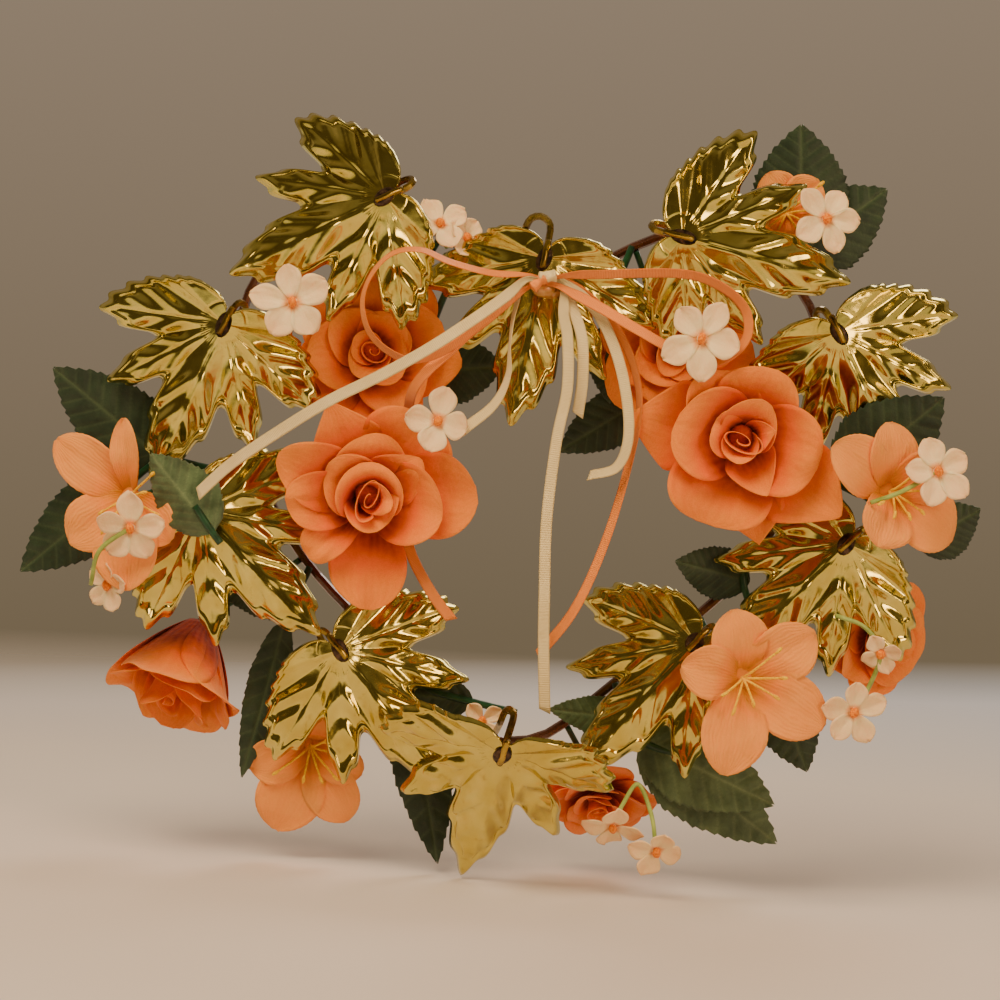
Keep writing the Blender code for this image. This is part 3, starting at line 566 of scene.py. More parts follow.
def ribbon(name, far_end, points):
    """Satin ribbon: a strip along its route, square to the front but for its twist, gathered by the knot and
    cut slanting at its free end. Its selvedges stand proud: height = 0.15 u^2, with u from -1 to 1, and more
    where it is gathered."""
    colour = name.split("_")[0]
    ends = [into_knot(points[-1])] if far_end == "object" else []
    line = smooth_route([into_knot(points[0]), *points, *ends], 10)
    ways = unit(np.gradient(line, axis=0))
    flat = unit(np.cross(FRONT, ways))
    proud = np.cross(ways, flat)
    twist = np.interp(np.linspace(0, 2, len(line)), (0, 1, 2), TWISTS.get(name, (0, 0, 0)))
    twist = np.radians(twist)[:, None]
    across, out = flat * np.cos(twist) + proud * np.sin(twist), proud * np.cos(twist) - flat * np.sin(twist)
    u = np.linspace(-1, 1, 7)
    steps = np.linalg.norm(np.diff(line, axis=0), axis=1)
    length, travelled = float(steps.sum()), np.concatenate([[0], np.cumsum(steps)])
    from_knot = np.minimum(travelled, length - travelled if far_end == "object" else length)
    loose = (0.45 + 0.55 * smooth(3, 16, from_knot))[:, None, None]
    strip = (line[:, None] + across[:, None] * (u * RIBBON_WIDTH / 2)[:, None] * loose
             + out[:, None] * (0.15 * u ** 2)[:, None] * (1 + 8 * (1 - loose)))
    if far_end == "bare":
        strip[-1] += ways[-1] * (u * SLANT)[:, None]
    skin = satin(f"{colour}_satin_{name}", *SATIN[colour], round(length / RIB_SPACING))
    piece = make(f"satin_{name}", [patch(strip)], [skin], [f"ribbon_{name}"], RIBBON_SHEET)


KNOT_BANDS = (               # place, lean, half depth and half height, skin, seed
    ((4.6, -35.6, 91.2), 10, (4.8, 3.0), 0, 0.4), ((1.0, -35.8, 88.8), 42, (4.6, 2.8), 1, 2.1))
BAND_REACH = 4.0             # half the length of a band
GLUE_SPOTS = (((3.4, -33.0, 86.4), (4.6, 4.4, 3.4), 1.0), ((7.0, -31.5, 85.2), (2.8, 3.0, 2.4), 2.0))


def knot():
    """Knot: two short bands drawn tight round the gathered ribbons, narrow in their middle and at their ends,
    with three soft folds that wind round them, and glue under them."""
    bands = []
    for at, lean, size, skin, seed in KNOT_BANDS:
        turn = (2 * math.pi * np.arange(48) / 48)[None]
        along = np.linspace(-1, 1, 13)[:, None]
        pinch = 1 - 0.25 * (1 - along ** 2) ** 2 + 0.07 * np.cos(3 * turn + 4 * along + seed)
        pinch = pinch * np.sqrt(np.clip(1.08 - along ** 8, 0.05, 1)) + 0.05 * np.cos(9 * along + seed)
        y, z = size[0] * pinch * np.cos(turn), size[1] * pinch * np.sin(turn)
        x, z = spun(along * BAND_REACH, z, lean)
        bands.append(patch(np.stack([x, y, z], -1) + np.array(at), wrap=True, skin=skin))
    make("bow_knot_bands", bands,
         [satin("knot_cream_satin", *SATIN["cream"], 9), satin("knot_peach_satin", *SATIN["peach"], 9)],
         ["bow_knot"], rounding=1)
    make("bow_glue", [blob(*spot) for spot in GLUE_SPOTS], [GLUE])


# ---- brass leaves ----
LOBES = (0, 38, -38, 72, -72)          # directions of the veins
OUTLINE = (                            # turn from the midrib, and the rim's share of the leaf's length
    (0, 1.0), (4, 0.93), (9, 0.82), (17, 0.66), (22, 0.48), (25, 0.49), (31, 0.66), (38, 0.8), (45, 0.67),
    (52, 0.42), (56, 0.42), (62, 0.62), (72, 0.78), (85, 0.64), (104, 0.42), (132, 0.24), (162, 0.1))
TEETH, TOOTH_DEPTH = 46, 0.03          # over a full turn; share of the reach
PLEAT_SLOPE = 0.07
PUNCH_RADIUS = 9.0
BEAD = (5.0, 3.4, 1.7)                 # half sizes of a hub's solder
ROD_END = [(4.0, 0, 0.8), (0, 0.2, 1.4), (-4.0, 0, 0.8), (-8.0, 0.3, -0.6)]


def leaf_rim(turn):
    """Reach of the stamped leaf's rim at a turn from its midrib: lobes and sinuses, with small teeth."""
    degrees, shares = np.array(OUTLINE).T
    soft = np.mean([np.interp(np.abs(turn + d), degrees, shares) for d in (-2, -1, 0, 1, 2)], axis=0)
    teeth = 1 + TOOTH_DEPTH * np.cos(np.radians(np.abs(turn)) * TEETH) * smooth(0.2, 0.5, soft)
    return GOLD_LENGTH * soft * teeth


def leaf_ribs():
    """Ribs of the stamping: start (x, y), direction in degrees, height and width."""
    ribs = []
    for lobe in LOBES:
        reach = GOLD_LENGTH * (0.8 if lobe else 1.0)
        for side in (-1, 1):
            for k, share in enumerate((0.28, 0.52) if lobe else (0.3, 0.5, 0.7)):
                ribs.append((spun(reach * share, 0, lobe), lobe + side * (30 - 4 * k), 2.1 - 0.3 * k, 2.3))
    return ribs


def stamped_relief(x, y, share):
    """Height of the stamping: a droop to the tips, pleats that crest on the lobes and dip at the sinuses,
    sharp veins, rounded ribs, a turned-down rim and the ring that the punch left round the hub."""
    reach = np.hypot(x, y)
    turn = np.degrees(np.arctan2(y, x))
    height = -GOLD_DROOP * reach ** 2
    crest = np.interp(np.abs(turn), (0, 23, 38, 54, 72, 104, 162), (1, -1, 0.9, -1, 0.9, -0.8, 0.5))
    height = height + PLEAT_SLOPE * reach * crest * smooth(4, 18, reach)
    inside = 1 - smooth(0.84, 0.88, share)
    for (sx, sy), way, tall, wide in leaf_ribs():
        along, aside = spun(x - sx, y - sy, -way)
        height = height + tall * bell(aside, wide) * smooth(-1, 9, along) * inside
    for lobe in LOBES:
        along, aside = spun(x, y, -lobe)
        height = height - 0.9 * bell(aside, 0.9) * smooth(5, 14, along) * inside
    height = height + 1.1 * bell(share - 0.925, 0.035)
    height = height - 1.8 * smooth(0.955, 1.0, share) * smooth(10, 25, reach)
    return height - 0.35 * bell(reach - PUNCH_RADIUS, 0.45)


def gold_leaf(name, hub, aim, forward, side, seed):
    """Stamped maple leaf: rings about the hub, each at share s = 1 - (1 - t)^1.35 of the rim's reach, lifted
    by the stamping and a slow warp of its own."""
    turn = np.linspace(-163, 163, 421)[None]
    t = np.linspace(0.02, 1, 44)[:, None]
    share = 1 - (1 - t) ** 1.35
    reach = share * leaf_rim(turn)
    x, y = reach * np.cos(np.radians(turn)), reach * np.sin(np.radians(turn))
    luck = chances(seed, 5)
    warp = (luck[0] * x * y / 1400 + luck[1] * (y / 45) ** 2 * 1.2
            + 0.8 * luck[2] * np.sin(x / 16 + 3 * luck[3]) * smooth(15, 50, reach)
            + 0.7 * np.sin(np.radians(turn) * 9 + 5 * luck[4]) * smooth(0.75, 1, share))
    fold = np.radians(GOLD_FOLD + (GOLD_BASE_FOLD - GOLD_FOLD) * smooth(92, 112, np.abs(turn)))
    height = stamped_relief(x, y, share) + warp - np.abs(y) * np.sin(fold)
    y = y * np.cos(fold)
    sheet = placed(np.stack([x, y, height], -1), hub, facing(aim, forward, side))
    make(f"brass_leaf_{name}", [patch(sheet)], [BRASS], [f"gold_leaf_{name}"], GOLD_SHEET)


def solder_spots():
    """A dark bead of solder on each hub, holding the rod's flattened end."""
    beads = []
    for number, (hub, aim, forward, side) in enumerate(GOLD_LEAVES.values()):
        turn = facing(aim, forward, side)
        at = np.array(hub, float) + turn[:, 0] * 0.5 + turn[:, 2] * 0.6
        beads.append(carried(blob(ORIGIN, BEAD, number), at, turn))
        beads.append(own_tube(ROD_END, 4, at, turn, 1.3, 8, skin=1))
    make("solder_spots", beads, [SOLDER, ROD])


# ---- flower stems and petals ----
def aimed(way, along, side, height, v):
    """Grid of a petal turned to its way in the flower's axes, and how far along the petal each point is."""
    x, y = spun(along, side, way - 90)
    return np.stack(np.broadcast_arrays(x, y, height), -1), np.broadcast_to(v, x.shape)


def wired(start, turn):
    """Moulded stem from the back of a flower to the nearest place on the heart's wire."""
    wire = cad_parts["heart_frame"]
    places = np.array([wire.matrix_world @ v.co for v in wire.data.vertices])
    places = (places - HEART) / MM
    end = places[np.argmin(np.linalg.norm(places - start, axis=1))]
    line = smooth_route(np.array([start, start - turn[:, 2] * 4, (start + end) / 2 + (0, 3, 0), end]), 6)
    return tube(line, STEM_RADIUS, 10)


# ---- silk roses ----
def petal(seed, way, foot, length, width, lean_in, lean_out, roll, cup, wrap_to=0, point=0):
    """Rose petal in the rose's axes: it climbs from its foot, leans out by lean_in to lean_out degrees and
    rolls back by roll at the rim. Half width = sin up to 0.6 of the length, then a quarter of an ellipse, or
    a straight taper for a pointed one. Across, it lies on a circle of its distance from the axis times
    wrap_to, or bows forward by cup."""
    s, u = lattice(26, 19)
    v = 1 - (1 - s) ** 1.4
    luck = chances(seed, 8)
    lean = np.radians(5 * luck[7] + lean_in + (lean_out - lean_in) * v ** 0.8
                      + roll * smooth(0.68, 1.0, v) ** 1.3)
    step = np.diff(v, axis=0) * length
    start = np.zeros((1, 1))
    out = foot + np.concatenate([start, np.cumsum(np.sin(lean[1:]) * step, axis=0)])
    rise = np.concatenate([start, np.cumsum(np.cos(lean[1:]) * step, axis=0)])
    tip = np.clip((v - 0.58) / 0.42, 0, 0.985)
    rounded = (1 - tip ** 2.4) ** 0.5
    tapered = 1 - tip ** 1.25
    half = width / 2 * (0.24 + 0.76 * np.sin(np.clip(v / 0.6, 0, 1) * math.pi / 2)) * (
        rounded + (tapered - rounded) * point)
    side = u * half
    place = side / (width / 2)
    bow = np.where(wrap_to > 0, np.maximum(out, 2.5) * max(wrap_to, 0.01), 1e3)
    turn = np.clip(side / bow, -2.6, 2.6)
    radial = out - bow * (1 - np.cos(turn))
    across = bow * np.sin(turn)
    high = rise + cup * place ** 2 * width * 0.14
    ruffle = (1.5 * np.sin(4 * place + 4 * luck[0])
              + 0.8 * np.sin(8 * place + 6 * luck[1]) * (0.4 + luck[4] ** 2))
    high = high + ruffle * smooth(0.4, 1, v) * (0.8 + 0.5 * luck[2])
    high = high + 2.4 * luck[5] * place * v - 0.6 * bell(place - 0.2 * luck[6], 0.1) * np.sin(math.pi * v)
    radial = radial + 1.4 * np.sin(2.5 * place + 5 * luck[3]) * v
    return aimed(way, radial, across, high, v)


def spiral_core(tall, widest, squash, skew):
    """Tight middle of a rose: a sheet on a spiral whose radius grows evenly with the turn, pressed to an oval
    and turned by skew degrees; its rim dips and rises as it goes round."""
    v, t = np.linspace(0, 1, 12)[:, None], np.linspace(0, 1, 90)[None]
    turn = t * 3.3 * math.pi
    radius = 0.8 + (widest - 0.8) * t + 1.6 * (v - 0.5) * t
    x, y = radius * np.cos(turn) * squash, radius * np.sin(turn) / squash
    high = tall * (0.35 + 0.65 * v) + v * (1.6 * np.sin(turn * 0.7 + 1) - 1.6 * (1 - t) ** 2)
    return aimed(skew + 90, x, y, high, v)


FULL_ROSE = [                # way, foot, length, width, lean in and out, roll, cup, wrap, point; inner last
    (100, 4, 34, 38, 76, 74, 10, 0.6, 0, 0.2), (28, 4, 34, 38, 80, 78, 10, 0.4),
    (-44, 4, 35, 36, 80, 78, 8, 0.5, 0, 0.5), (-116, 4, 35, 36, 80, 76, 12, 0.5),
    (172, 4, 34, 38, 78, 74, 14, 0.5, 0, 0.3), (60, 3, 30, 38, 64, 60, 30, 0.5, 1.8),
    (-20, 3, 31, 38, 64, 62, 26, 0.5, 1.8), (-90, 3, 30, 36, 60, 58, 34, 0.5, 1.5),
    (150, 3, 29, 38, 58, 56, 38, 0.4, 1.5), (100, 2, 25, 32, 44, 46, 44, 0.4, 1.3, 0.2),
    (10, 2, 24, 32, 40, 42, 48, 0.3, 1.2), (-70, 2, 23, 30, 34, 36, 44, 0.2, 1.2),
    (200, 1.8, 22, 28, 26, 30, 40, 0.2, 1.1), (120, 1.5, 21, 24, 18, 22, 34, 0.2, 1.0, 0.1),
]
FRONT_ROSES = {              # roses that face the front have their own petals
    "left": [
        (116, 4, 38, 30, 74, 70, 4, 0.5, 0, 1), (56, 4, 38, 40, 78, 74, 10, 0.4, 0, 0.2),
        (4, 4, 40, 36, 80, 78, 12, 0.5), (-88, 3, 43, 32, 86, 84, 6, 0.8),
        (160, 3, 40, 30, 68, 64, 60, 0.4, 0.9, 0.2), (-172, 3, 35, 26, 70, 62, 44, 0.7, 0.9),
        (-134, 3, 36, 20, 72, 64, 66, 0.9, 0.6), (92, 3, 27, 34, 54, 50, 60, 0.5, 1.5, 0.3),
        (-8, 3, 31, 36, 56, 60, 26, 0.6, 1.4), (40, 3, 27, 26, 50, 46, 70, 0.4, 1.2, 0.7),
        (150, 2.5, 23, 30, 40, 46, 66, 0.4, 1.2), (94, 2.5, 22, 40, 22, 26, 118, 0.3, 1.6),
        (-62, 2.5, 20, 32, 28, 34, 40, 0.2, 1.3), (-10, 2, 21, 24, 20, 24, 54, 0.2, 1.0, 0.6),
    ],
    "right": [
        (172, 4, 42, 38, 78, 76, 2, 0.4, 0, 1), (-34, 4, 47, 38, 80, 78, 6, 0.4, 0, 0.8),
        (-76, 4, 42, 26, 80, 80, 4, 0.4, 0, 1), (-108, 3, 37, 44, 72, 74, 30, 0.9, 2.6),
        (72, 3, 34, 36, 62, 54, 36, 0.6, 1.4), (118, 3, 32, 32, 58, 52, 40, 0.6, 1.3),
        (-10, 3, 36, 40, 56, 62, 52, 0.6, 1.5), (168, 2.5, 31, 44, 44, 54, 34, 0.6, 1.5),
        (-60, 2.5, 27, 24, 48, 50, 26, 0.5, 1.1, 0.9), (60, 2, 26, 28, 30, 28, 52, 0.3, 1.2),
        (20, 2.5, 25, 16, 22, 26, 26, 0.5, 0.8, 1), (150, 2, 21, 26, 24, 26, 40, 0.2, 1.2),
        (-90, 2, 21, 26, 22, 26, 30, 0.2, 1.1, 0.6),
    ],
    "lower_left": [
        (20, 5, 44, 42, 44, 28, 56, 0.5, 1.4, 0.2), (-70, 5, 46, 42, 42, 24, 44, 0.4, 1.4),
        (-150, 5, 44, 42, 44, 28, 60, 0.5, 1.4, 0.4), (100, 5, 45, 44, 42, 26, 44, 0.4, 1.4),
        (60, 4.5, 43, 38, 36, 18, 44, 0.3, 1.4, 0.2), (-30, 4.5, 44, 38, 34, 16, 40, 0.3, 1.4),
        (-115, 4.5, 43, 38, 34, 16, 46, 0.3, 1.4, 0.3), (155, 4.5, 43, 36, 32, 14, 38, 0.3, 1.4),
        (10, 4, 44, 32, 22, 6, 30, 0.2, 1.2, 0.3), (-90, 4, 44, 32, 20, 4, 28, 0.2, 1.2),
        (130, 4, 44, 30, 20, 4, 30, 0.2, 1.2, 0.5),
    ],
}
CORES = {                    # height, radius, squash, skew
    "left": (17, 7.0, 1.4, -20), "right": (18, 6.4, 1.4, 70), "lower_left": (38, 6.0, 1.3, 10)}
FULL_RADIUS = 31             # of the full rose that the petals above make


def rose(name, centre, radius, depth, down, right, seed):
    """Silk rose of overlapping petals. Gives back its green calyx and its stem."""
    turn = facing(90, down, right)
    patches = []
    petals = FRONT_ROSES.get(name, FULL_ROSE)
    scale = 1.0 if name in FRONT_ROSES else radius / FULL_RADIUS
    tall = min(1.0, depth / (20 * scale))
    sunk = depth * (0.56 if name == "lower_left" else 0.46)
    for number, (way, *shape) in enumerate(petals):
        inner = number / (len(petals) - 1)
        if name not in FRONT_ROSES:
            way = way + 40 * seed
        grid, along = petal(40 * seed + number, way, *shape)
        grid = grid * (scale, scale, scale * tall) - (0, 0, sunk - 0.6 * inner)
        # Painted shade: each petal is darker towards its foot, and the inner petals darker still, over the
        # silk's own deeper tone at the foot.
        shade = 1.05 * (1 - smooth(0.15, 0.9, along)) + 0.35 * inner * (1 - along ** 2)
        patches.append(patch(placed(grid, centre, turn), shade))
    core = CORES.get(name, (17, 6.0, 1.12, 60 * seed))
    grid, along = spiral_core(*core)
    grid = grid * (scale, scale, scale * tall) - (0, 0, sunk - 0.6)
    # The core is painted darker towards its bottom: painted shade deep in the rose.
    patches.append(patch(placed(grid, centre, turn), 1.1 - 0.9 * along))
    behind = (0, 0, 0.5 * core[0] * scale * tall - sunk)
    plug = blob(behind, (5.5 * scale, 5.5 * scale, 3.5 * scale), seed, 0.1)
    # The plug behind the core is painted in the dark depth colour: painted shade.
    patches.append(patch(placed(plug[0], centre, turn), 0.85, wrap=True))
    skin = RED_ROSE_SILK if name == "bottom" else ROSE_SILK
    make(f"silk_rose_{name}", patches, [skin], [f"rose_{name}"], SILK_SHEET)
    back = np.array([(0, 0, -depth * 0.42), (0, 0, -depth * 0.5), (0, 0, -depth * 0.5 - 2.5)])
    calyx = placed(smooth_route(back, 3), centre, turn)
    return [tube(calyx, np.linspace(5.5, 2.2, 7), 12), wired(calyx[-1], turn)]


# ---- lilies ----
LILY_FUNNEL = [(0, 0, -3.0), (0, 0, -6.0), (0, 0, -9.5)]
STAMENS, STAMENS_FROM, STAMEN_STEP = 6, 125, 38         # count, and directions in degrees
ANTHER = (2.0, 0.8, 0.8)


def lily_petal(way, length, width, seed):
    """Lily petal in the flower's axes: half width = sin(pi v^1.3)^0.55 of its half with a faintly frayed
    edge, a groove down the middle, rising out of the throat as a curve and falling back at the tip."""
    s, u = lattice(30, 17)
    v = 1 - (1 - s) ** 1.5
    luck = chances(seed, 4)
    half = width / 2 * (0.22 * (1 - v) + np.sin(math.pi * np.clip(v, 0, 0.992) ** 1.3) ** 0.55)
    half = half * (1 + 0.02 * np.cos(math.pi * 30 * s))
    along, side = v * length, u * half
    height = (-6.0 * (1 - v) ** 3 + 7.5 * v - (4.5 + 2 * luck[0]) * v ** 3
              + 1.6 * u ** 2 * np.sin(math.pi * v) - 0.7 * bell(u, 0.16) * np.sin(math.pi * v)
              + 0.7 * np.sin(3 * math.pi * v + 4 * luck[1]) * u + 0.5 * luck[2] * np.sin(7 * v + 4 * u))
    height = np.clip(height, -7, 8)
    return aimed(way, along, side, height, v)


def lily(name, throat, petals, down, right, seed):
    """Open lily: its petals on a short funnel. Gives back its stamens, which droop to one side, and its
    stem."""
    turn = facing(90, down, right)
    patches = []
    for number, (way, length, width) in enumerate(petals):
        grid, v = lily_petal(way, length, width, 60 * seed + number)
        grid = grid + (0, 0, 0.25 * number)
        patches.append(patch(placed(grid, throat, turn), 0.95 * (1 - smooth(0.05, 0.55, v)) + 0.1))
    patches.append(own_tube(LILY_FUNNEL, 4, throat, turn, np.linspace(4.0, 1.8, 9), 12, 0.6))
    make(f"silk_lily_{name}", patches, [LILY_SILK], [f"lily_{name}"], SILK_SHEET)
    luck = np.random.default_rng(seed)
    threads = []
    for k in range(STAMENS):
        way, reach = STAMENS_FROM + STAMEN_STEP * k + luck.uniform(-9, 9), luck.uniform(9, 17)
        tip = spun(reach, 0, way) + (luck.uniform(6, 9),)
        line = smooth_route(np.array([(0, 0, -3), (0.25 * tip[0], 0.25 * tip[1], 2.0), tip]), 4)
        threads.append(tube(placed(line, throat, turn), np.linspace(0.6, 0.45, len(line)), 6))
        swung = np.array([spun(1, 0, way) + (0,), spun(0, 1, way) + (0,), (0, 0, 1)]).T
        anther = carried(blob(ORIGIN, ANTHER, k, 0.05, rows=7, sides=8), line[-1], swung)
        threads.append(carried(anther, throat, turn))
    return threads, wired(placed(np.array([(0, 0, -9.0)]), throat, turn)[0], turn)


# ---- small blossoms ----
BLOSSOM_TUBE = [(0, 0, 0.2), (0, 0, -3.0), (0, 0, -6.0)]


def blossom_petal(way, length, width, seed):
    """Small rounded petal: half width = sin(pi v^1.5)^0.66 of its half, cupped up at its edges."""
    v, u = lattice(12, 9)
    luck = chances(seed, 3)
    half = width / 2 * (0.3 * (1 - v) + np.sin(math.pi * np.clip(v, 0, 0.98) ** 1.5) ** 0.66)
    along, side = 0.08 * length + v * 0.92 * length, u * half
    height = (1.2 * v + 1.3 * u ** 2 * np.sin(math.pi * v) + 2.2 * luck[0] * v ** 2 + 1.2 * luck[1] * u * v
              - 0.7 * bell(u, 0.2) * np.sin(math.pi * v) + 0.35 * np.sin(9 * v + 5 * u + 6 * luck[2]) * v)
    return aimed(way, along, side, height, v)


def blossom_head(seed, centre, radius, count, aim, down=0, right=0):
    """Surfaces of one blossom: petals, a raised orange eye and the small tube behind."""
    turn = facing(90, down, right)
    patches = []
    for k in range(count):
        luck = chances(50 * seed + k, 3)
        way, reach = aim + 360 * k / count + 7 * luck[0], radius * (1 + 0.1 * luck[1])
        width = radius * (0.66 if count == 5 else 0.78) * (1 + 0.12 * luck[2])
        grid, v = blossom_petal(way, reach, width, 30 * seed + k)
        shade = np.clip(0.55 - 0.6 * v, 0, 1) + 0.45 * (1 - smooth(0, 0.3, v))
        patches.append(patch(placed(grid, centre, turn), shade))
    eye = blob((0, 0, 1.2), (2.0, 1.6, 1.6), seed, 0.08, skin=1, rows=8, sides=12)
    patches.append(carried(eye, centre, turn))
    patches.append(own_tube(BLOSSOM_TUBE, 3, centre, turn, np.linspace(1.9, 0.9, 7), 8, 0.4))
    return patches


def blossoms(name, heads, twig, seed):
    """Sprig of small silk blossoms on its twig."""
    patches = []
    for number, head in enumerate(heads):
        patches += blossom_head(10 * seed + number, *head)
    patches.append(tube(smooth_route(twig, 6), TWIG_RADIUS, 8, skin=2))
    make(f"blossom_sprig_{name}", patches, BLOSSOM_SKINS, [f"blossoms_{name}"], BLOSSOM_SHEET)


HIDDEN_BLOSSOMS = (          # behind the brass leaves: head, then where its twig goes
    (((-41, -9, 113), 12, 4, 30, -30, 0), (-38, -4, 104)),
    (((-30, -7, 108), 10, 4, 70, -20, 30), (-34, -4, 103)),
    (((-166, -31, -44), 11, 5, 90, 20, -30), (-158, -24, -36)),
    (((-11, -14, -92), 9, 4, 40), (-9, -8, -98)),
)


def hidden_blossoms():
    """Blossoms that only show past the edges of the brass leaves."""
    patches = []
    for number, (head, tied) in enumerate(HIDDEN_BLOSSOMS):
        patches += blossom_head(200 + number, *head)
        patches.append(tube(np.linspace(head[0], tied, 5), TWIG_RADIUS, 8, skin=2))
    make("hidden_blossoms", patches, BLOSSOM_SKINS, sheet=BLOSSOM_SHEET)


# ---- green leaves ----
LEAF_WIDTHS = (              # share of the length, and half width there
    (0, 0.05), (0.05, 0.24), (0.14, 0.36), (0.34, 0.5), (0.56, 0.45), (0.78, 0.28), (0.92, 0.11), (1, 0.01))
SAW_TEETH = 16
SIDE_VEINS = 8.5
# Sprays that get the lighter cloth: painted light on leaves that lie in the light.
LIT_SPRAYS = ("front_left", "lower_right")


def green_leaf(seed, crumple, foot, aim, length, width, forward=0, side=0):
    """Pointed oval leaf: half width read from LEAF_WIDTHS with saw teeth on it, folded along the midrib, its
    side veins pressed in aslant and the cloth puffed between them. A crumpled one folds more and frills."""
    turn = facing(aim, forward, side)
    v, u = lattice(121, 25)
    luck = chances(seed, 4)
    saw = ((v * SAW_TEETH) % 1.0) * smooth(0.04, 0.15, v) * (1 - smooth(0.93, 0.99, v))
    half = width * (np.interp(v, *np.array(LEAF_WIDTHS).T) + 0.035 * saw)
    x, y = v * length + 0.02 * length * u ** 2, u * half
    vein = (x - 0.75 * np.abs(y)) / (length / SIDE_VEINS)
    press = np.abs((vein % 1.0) - 0.5) * 2
    rib = bell(1 - press, 0.16)
    midrib = bell(y, 0.8)
    height = (-0.12 * np.abs(y) * 0.8 + 0.45 * (1 - press) * smooth(0, 0.3, np.abs(u)) - 0.5 * midrib
              + 1.0 * luck[0] * (v - 0.3) ** 2 * 3 + 0.8 * np.sin(5 * v + 3 * luck[1]) * u * 0.8
              + 0.5 * np.sin(14 * v + 5 * luck[2]) * np.abs(u) ** 3)
    height = height + crumple * (1.3 * np.sin(19 * v + 2 * u) * np.abs(u) ** 1.5 - 0.35 * np.abs(y))
    y = y * (1 - 0.25 * crumple)
    start = np.array(foot, float) - turn[:, 0] * LEAF_TUCK
    return patch(placed(np.stack([x, y, height], -1), start, turn), np.maximum(midrib, 0.55 * rib) + 0 * u)


def spray(name, stem, leaves, seed):
    """Green spray: moulded stem and its cloth leaves."""
    patches = [tube(smooth_route(stem, 6), STEM_RADIUS, 10, skin=1)]
    for number, (start, *shape) in enumerate(leaves):
        crumple = 1.0 if name == "front_left" else 0.0
        patches.append(green_leaf(20 * seed + number, crumple, stem[start], *shape))
    cloth = PAINTED_LIT_LEAF_CLOTH if name in LIT_SPRAYS else LEAF_CLOTH
    make(f"green_spray_{name}", patches, [cloth, GREEN_STEM], [f"leaf_spray_{name}"], LEAF_SHEET)


# ---- light and floor, in metres ----
LAMPS = {                    # place, size, power, colour
    "key": ((-0.45, -0.8, 1.0), 0.9, 27, "#ffe4c2"),
    "fill": ((1.1, -1.3, 0.3), 0.6, 12, "#ffd8b0"),
    "back": ((0.5, 1.2, 0.9), 0.7, 9, "#fff2e6"),
}
LIT_POINT = (0, 0, -0.12)
# The wall is painted darker low down, behind the wreath, and lighter above: painted shade of the wreath on
# the wall.
WALL, FLOOR_LINE = ("#75664f", "#95836f"), "#c9bcb0"    # seen behind the wreath
ROOM_BELOW, ROOM, ROOM_ABOVE = "#dccba8", "#50442f", "#7d6f58"
FLOOR_REACH, FLOOR_DROP, FLOOR_RINGS, FLOOR_SIDES = 1.6, 0.004, 24, 64


def studio():
    """A soft room, a large soft key light and two smaller ones."""
    scene = bpy.context.scene
    world = bpy.data.worlds.new("studio")
    world.use_nodes = True
    scene.world = world
    tree = world.node_tree
    sight = add_node(tree, "TexCoord").outputs["Generated"]
    way = add_node(tree, "SeparateXYZ", {"Vector": sight}).outputs
    upright = (-math.sin(math.radians(ROLL)), 0, math.cos(math.radians(ROLL)))
    height = add_node(tree, "VectorMath", {0: sight, 1: upright}, operation="DOT_PRODUCT").outputs["Value"]
    # Painted shade: the wall darkens from above towards the horizon, behind the wreath.
    wall = blended(tree, spread(tree, height, -0.06, 0.25), *WALL)
    wall = blended(tree, spread(tree, height, -0.088, -0.07), FLOOR_LINE, wall)
    room = blended(tree, spread(tree, way[2], -0.12, -0.02), ROOM_BELOW, ROOM)
    room = blended(tree, spread(tree, way[2], 0.6, 0.85), room, ROOM_ABOVE)
    walls = blended(tree, spread(tree, way[1], 0.05, -0.25), wall, room)
    tree.links.new(walls, tree.nodes["Background"].inputs["Color"])
    tree.nodes["Background"].inputs["Strength"].default_value = 1.0
    for name, (place, size, power, colour) in LAMPS.items():
        data = bpy.data.lights.new(name, "AREA")
        data.size, data.energy, data.color = size, power, linear(colour)[:3]
        lamp = bpy.data.objects.new(name, data)
        scene.collection.objects.link(lamp)
        lamp.location = place
        lamp.rotation_euler = (Vector(place) - Vector(LIT_POINT)).to_track_quat("Z", "Y").to_euler()
        lamp.visible_glossy = name != "key"


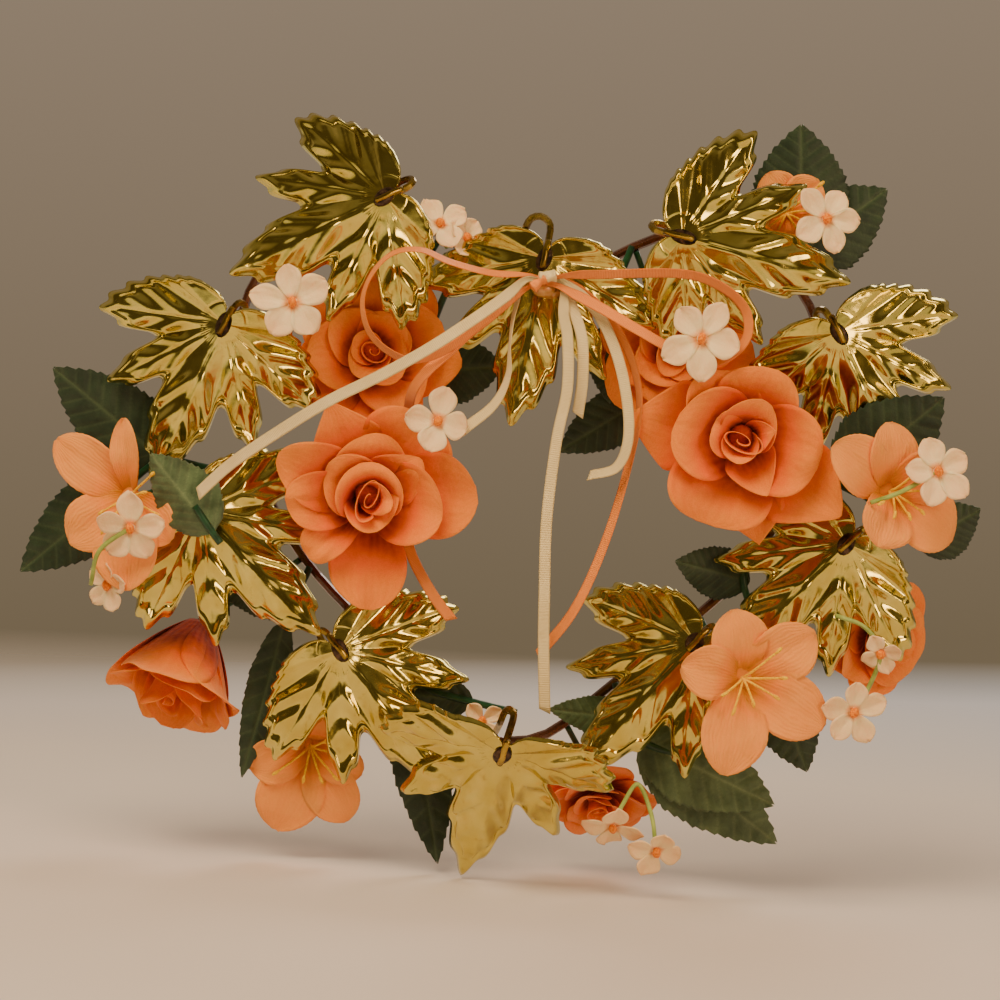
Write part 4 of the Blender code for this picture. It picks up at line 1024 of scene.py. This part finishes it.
def floor():
    """Round pale floor just under the wreath, fading out by distance from its middle."""
    turn = (2 * math.pi * np.arange(FLOOR_SIDES) / FLOOR_SIDES)[None]
    reach = np.linspace(0, FLOOR_REACH, FLOOR_RINGS)[:, None]
    level = cad_box[0][2] - FLOOR_DROP
    disc = np.stack([reach * np.cos(turn), reach * np.sin(turn), level + 0 * reach * turn], -1)
    mesh = bpy.data.meshes.new("floor")
    faces = [(r + c, r + (c + 1) % FLOOR_SIDES, r + FLOOR_SIDES + (c + 1) % FLOOR_SIDES, r + FLOOR_SIDES + c)
             for r in range(0, (FLOOR_RINGS - 1) * FLOOR_SIDES, FLOOR_SIDES) for c in range(FLOOR_SIDES)]
    mesh.from_pydata(disc.reshape(-1, 3).tolist(), [], faces)
    ground = bpy.data.objects.new("floor", mesh)
    bpy.context.scene.collection.objects.link(ground)
    material, tree, shader = finish("pale_floor", Roughness=0.9)
    shader.inputs["Base Color"].default_value = linear("#dcd2c8")
    distance = add_node(tree, "VectorMath", {0: add_node(tree, "TexCoord").outputs["Object"],
                                             1: (0, 0, level)}, operation="DISTANCE").outputs["Value"]
    tree.links.new(spread(tree, distance, 0.45, 1.4, 1, 0), shader.inputs["Alpha"])
    mesh.materials.append(material)


def carried_over():
    """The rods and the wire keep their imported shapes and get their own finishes."""
    for name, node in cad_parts.items():
        if name == "heart_frame":
            skin = LACQUER
        elif name.startswith("leaf_stem_"):
            skin = ROD
        else:
            continue
        node.data.materials.clear()
        node.data.materials.append(skin)
        node.data.shade_smooth()


camera()
for name, route in RIBBONS.items():
    ribbon(name, *route)
knot()
carried_over()
for seed, (name, place) in enumerate(GOLD_LEAVES.items()):
    gold_leaf(name, *place, seed)
solder_spots()
flower_stems = []
for seed, (name, flower) in enumerate(ROSES.items()):
    flower_stems += rose(name, *flower, seed)
stamens = []
for seed, (name, flower) in enumerate(LILIES.items()):
    threads, lily_stem = lily(name, *flower, seed)
    stamens += threads
    flower_stems.append(lily_stem)
make("flower_stems", flower_stems, [GREEN_STEM])
make("lily_stamens", stamens, [YELLOW_FLOCK])
for seed, (name, sprig) in enumerate(BLOSSOMS.items()):
    blossoms(name, *sprig, seed)
hidden_blossoms()
for seed, (name, branch) in enumerate(SPRAYS.items()):
    spray(name, *branch, seed)
studio()
floor()
